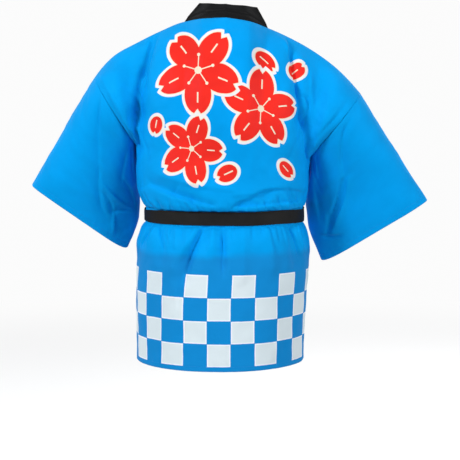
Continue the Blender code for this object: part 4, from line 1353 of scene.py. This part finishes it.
def end_piece(name, sign, length):
    """One end of the belt, hanging from under the knot over the skirt's front."""
    points = []
    top = KNOT_CENTRE[2] - KNOT_HALF[2] - 0.0014
    down = np.concatenate([np.linspace(0, 0.985, 56), [0.993, 1.0]])
    sides = np.array([-1, -0.96, -0.88, -0.7, -0.45, -0.2, 0.0, 0.2, 0.45, 0.7, 0.88, 0.96, 1])
    for t in down:
        z = top - length * t
        x = KNOT_CENTRE[0] + sign * (0.003 + 0.040 * t**0.8)
        drop = 0.458 + (-z - 0.4405) * 1.04
        front = -float(ring(drop, np.array([0.5]))[0, 1])
        clear = 0.0140 - 0.003 * ease(0.0, 0.3, t) + 0.003 * t * np.sin(4 * t + sign)
        y = -(front + WRAP_LIFT + clear + (0.0025 if sign > 0 else 0.0))
        wide = 0.0085 + 0.0065 * float(ease(0.0, 0.35, t))
        gather = 0.0011 * np.cos(sides * 9.0 + sign) * (1 - float(ease(0.05, 0.5, t)))
        x_at = x + sides * wide
        y_at = y + 0.0012 * sides * sign - 0.002 * (1 - sides**2) + gather
        z_at = z - sides * wide * 0.10 * sign
        points.append(np.stack([x_at, y_at, z_at], axis=1))
    points = np.array(points)
    along = np.gradient(points, axis=0)
    aside = np.gradient(points, axis=1)
    outward = unit(np.cross(aside, along))
    outward = outward * np.where(outward[..., 1:2] > 0, -1, 1)
    away = BELT_WIDTH / 2 * (1 - np.abs(sides))
    bottom = length * (1 - down)
    side_rim, end_rim = round_edge(away, FOLD_ROUND), round_edge(bottom, FOLD_ROUND)
    rim = np.minimum(side_rim[None, :], end_rim[:, None])
    pressed = 0.00025 * np.exp(-(((away - 0.0028) / 0.0008) ** 2))
    outer = 0.0007 * rim - pressed[None, :]
    u = np.broadcast_to(sides[None, :] * BELT_WIDTH / 2, outer.shape)
    d = np.broadcast_to(down[:, None] * length, outer.shape)
    place = np.stack([u, d, u * 0], axis=-1)
    return shell(name, points, outward, outer, 0.0007 * rim, place, [belt_face])


def line_at(grid, normals, row=None, column=None, closed=False):
    """A line of points on a grid's outer face, a hair above it."""
    points = grid[row] if row is not None else grid[:, column]
    out = normals[row] if row is not None else normals[:, column]
    if closed:
        points, out = np.concatenate([points, points[:1]]), np.concatenate([out, out[:1]])
    return points + out * 0.00008, out


def nearest(values, value):
    """The number of the row or column that is nearest to a value."""
    return int(np.argmin(np.abs(values - value)))


back, back_grid, back_out = panel("back_cloth", 1, 0, [coat_face, coat_inside])
left, left_grid, left_out = panel("front_left_cloth", -1, 1, [coat_face, coat_inside])
right, right_grid, right_out = panel("front_right_cloth", -1, -1, [coat_face, coat_inside])
sleeve_materials = [sleeve_face, sleeve_inside]
left_sleeve, left_tube, left_tube_out = sleeve_panel("sleeve_left_cloth", 1, sleeve_materials)
right_sleeve, right_tube, right_tube_out = sleeve_panel("sleeve_right_cloth", -1, sleeve_materials)
collar, collar_grid, collar_out = collar_piece()
belt, _, _ = belt_piece()
knot = knot_piece()
left_end, _, _ = end_piece("belt_end_left_cloth", 1, 0.150)
right_end, _, _ = end_piece("belt_end_right_cloth", -1, 0.135)

hem_row = nearest(panel_drops(), BODY_LENGTH - STITCHED)
stitch = (0.0023, 0.00022, 0.0034)  # length, thickness and pitch
hem_lines = [
    line_at(back_grid, back_out, row=hem_row),
    line_at(left_grid, left_out, row=hem_row),
    line_at(right_grid, right_out, row=hem_row),
]
hem_stitches = stitches("hem_stitches", hem_lines, stitch, blue_thread)
cuff_row = nearest(sleeve_rows(), 1 - STITCHED / SLEEVE_LENGTH)
left_line = line_at(left_tube, left_tube_out, row=cuff_row, closed=True)
right_line = line_at(right_tube, right_tube_out, row=cuff_row, closed=True)
cuff_left = stitches("cuff_left_stitches", [left_line], stitch, blue_thread)
cuff_right = stitches("cuff_right_stitches", [right_line], stitch, blue_thread)
collar_lines = [
    line_at(collar_grid, collar_out, column=nearest(COLLAR_SHARES, share))
    for share in (0.07, 0.93)
]
collar_stitches = stitches("collar_stitches", collar_lines, stitch, black_thread)

for piece, node in (
    (back, "back"),
    (left, "front_left"),
    (right, "front_right"),
    (left_sleeve, "sleeve_left"),
    (right_sleeve, "sleeve_right"),
    (collar, "collar"),
    (belt, "belt"),
    (knot, "belt_knot"),
    (left_end, "belt_end_left"),
    (right_end, "belt_end_right"),
):
    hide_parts(node)


# A pale floor that rises far away into a pale wall, so that no edge shows behind.
PALE = 0.97
world = bpy.data.worlds.new("studio")
world.use_nodes = True
sky = world.node_tree.nodes["Background"]
sky.inputs["Color"].default_value = (0.94, 0.97, 1.0, 1.0)
sky.inputs["Strength"].default_value = 0.45
bpy.context.scene.world = world
bpy.context.scene.view_settings.view_transform = "Standard"
bpy.context.scene.view_settings.look = "None"


def floor_piece():
    """A round floor far under the coat, with a wall that sweeps up."""
    level = -1.45
    flat = [(float(far), level) for far in np.geomspace(0.5, 12.0, 20)]
    sweep = [
        (12.0 + 6.0 * float(np.sin(turn)), level + 6.0 - 6.0 * float(np.cos(turn)))
        for turn in np.linspace(0, np.pi / 2, 14)[1:]
    ]
    rings = flat + sweep + [(18.0, 16.0)]
    count = 96  # places round each ring
    turns = 2 * np.pi * np.arange(count) / count
    vertices = [(0.0, 0.0, level)]
    for far, high in rings:
        vertices += [(float(far * np.cos(t)), float(far * np.sin(t)), high) for t in turns]
    pairs = [(j, (j + 1) % count) for j in range(count)]
    faces = [(0, 1 + j, 1 + k) for j, k in pairs]
    for i in range(len(rings) - 1):
        a, b = 1 + i * count, 1 + (i + 1) * count
        faces += [(a + j, b + j, b + k, a + k) for j, k in pairs]
    mesh = bpy.data.meshes.new("floor")
    mesh.from_pydata(vertices, [], faces)
    mesh.polygons.foreach_set("use_smooth", [True] * len(faces))
    material = bpy.data.materials.new("floor")
    material.use_nodes = True
    tree = material.node_tree
    shader = tree.nodes["Principled BSDF"]
    shader.inputs["Base Color"].default_value = (0.86, 0.86, 0.86, 1.0)
    shader.inputs["Roughness"].default_value = 0.9
    shader.inputs["Specular IOR Level"].default_value = 0.1
    spot = tree.nodes.new("ShaderNodeTexCoord")
    split = tree.nodes.new("ShaderNodeVectorMath")
    split.operation = "LENGTH"
    tree.links.new(spot.outputs["Object"], split.inputs[0])
    fade = Field(tree, split.outputs["Value"]).ramp(1.8, 5.0)
    glow = tree.nodes.new("ShaderNodeEmission")
    glow.inputs["Color"].default_value = (PALE, PALE, PALE, 1.0)
    mix = tree.nodes.new("ShaderNodeMixShader")
    tree.links.new(fade.socket, mix.inputs[0])
    tree.links.new(shader.outputs[0], mix.inputs[1])
    tree.links.new(glow.outputs[0], mix.inputs[2])
    tree.links.new(mix.outputs[0], tree.nodes["Material Output"].inputs["Surface"])
    mesh.materials.append(material)
    made = bpy.data.objects.new("floor", mesh)
    made.visible_diffuse = False
    made.visible_glossy = False
    made.visible_shadow = False
    bpy.context.scene.collection.objects.link(made)


def lamp(name, place, aim, size, power, mirrored=True):
    """A square soft box that looks at a point. Without mirrored, nothing reflects it."""
    data = bpy.data.lights.new(name, "AREA")
    data.shape = "SQUARE"
    data.size = size
    data.energy = power
    made = bpy.data.objects.new(name, data)
    bpy.context.scene.collection.objects.link(made)
    made.location = place
    made.visible_glossy = mirrored
    x, y, z = (aim[k] - place[k] for k in range(3))
    made.rotation_euler = (
        float(np.arctan2(np.hypot(x, y), -z)),
        0.0,
        float(np.arctan2(-x, y)),
    )


floor_piece()
lamp("key", (2.9, 2.7, 1.4), (0.0, 0.0, -0.40), 0.8, 116.0)
lamp("fill", (-2.9, 2.6, 0.5), (0.0, 0.0, -0.40), 1.4, 68.0)
lamp("front", (-1.8, -3.2, 1.15), (0.0, 0.0, -0.40), 1.2, 100.0, False)
lamp("front_fill", (2.8, -2.4, 0.2), (0.0, 0.0, -0.40), 1.8, 32.0, False)
lamp("top", (0.0, 0.2, 2.8), (0.0, 0.0, -0.40), 1.8, 12.0, False)
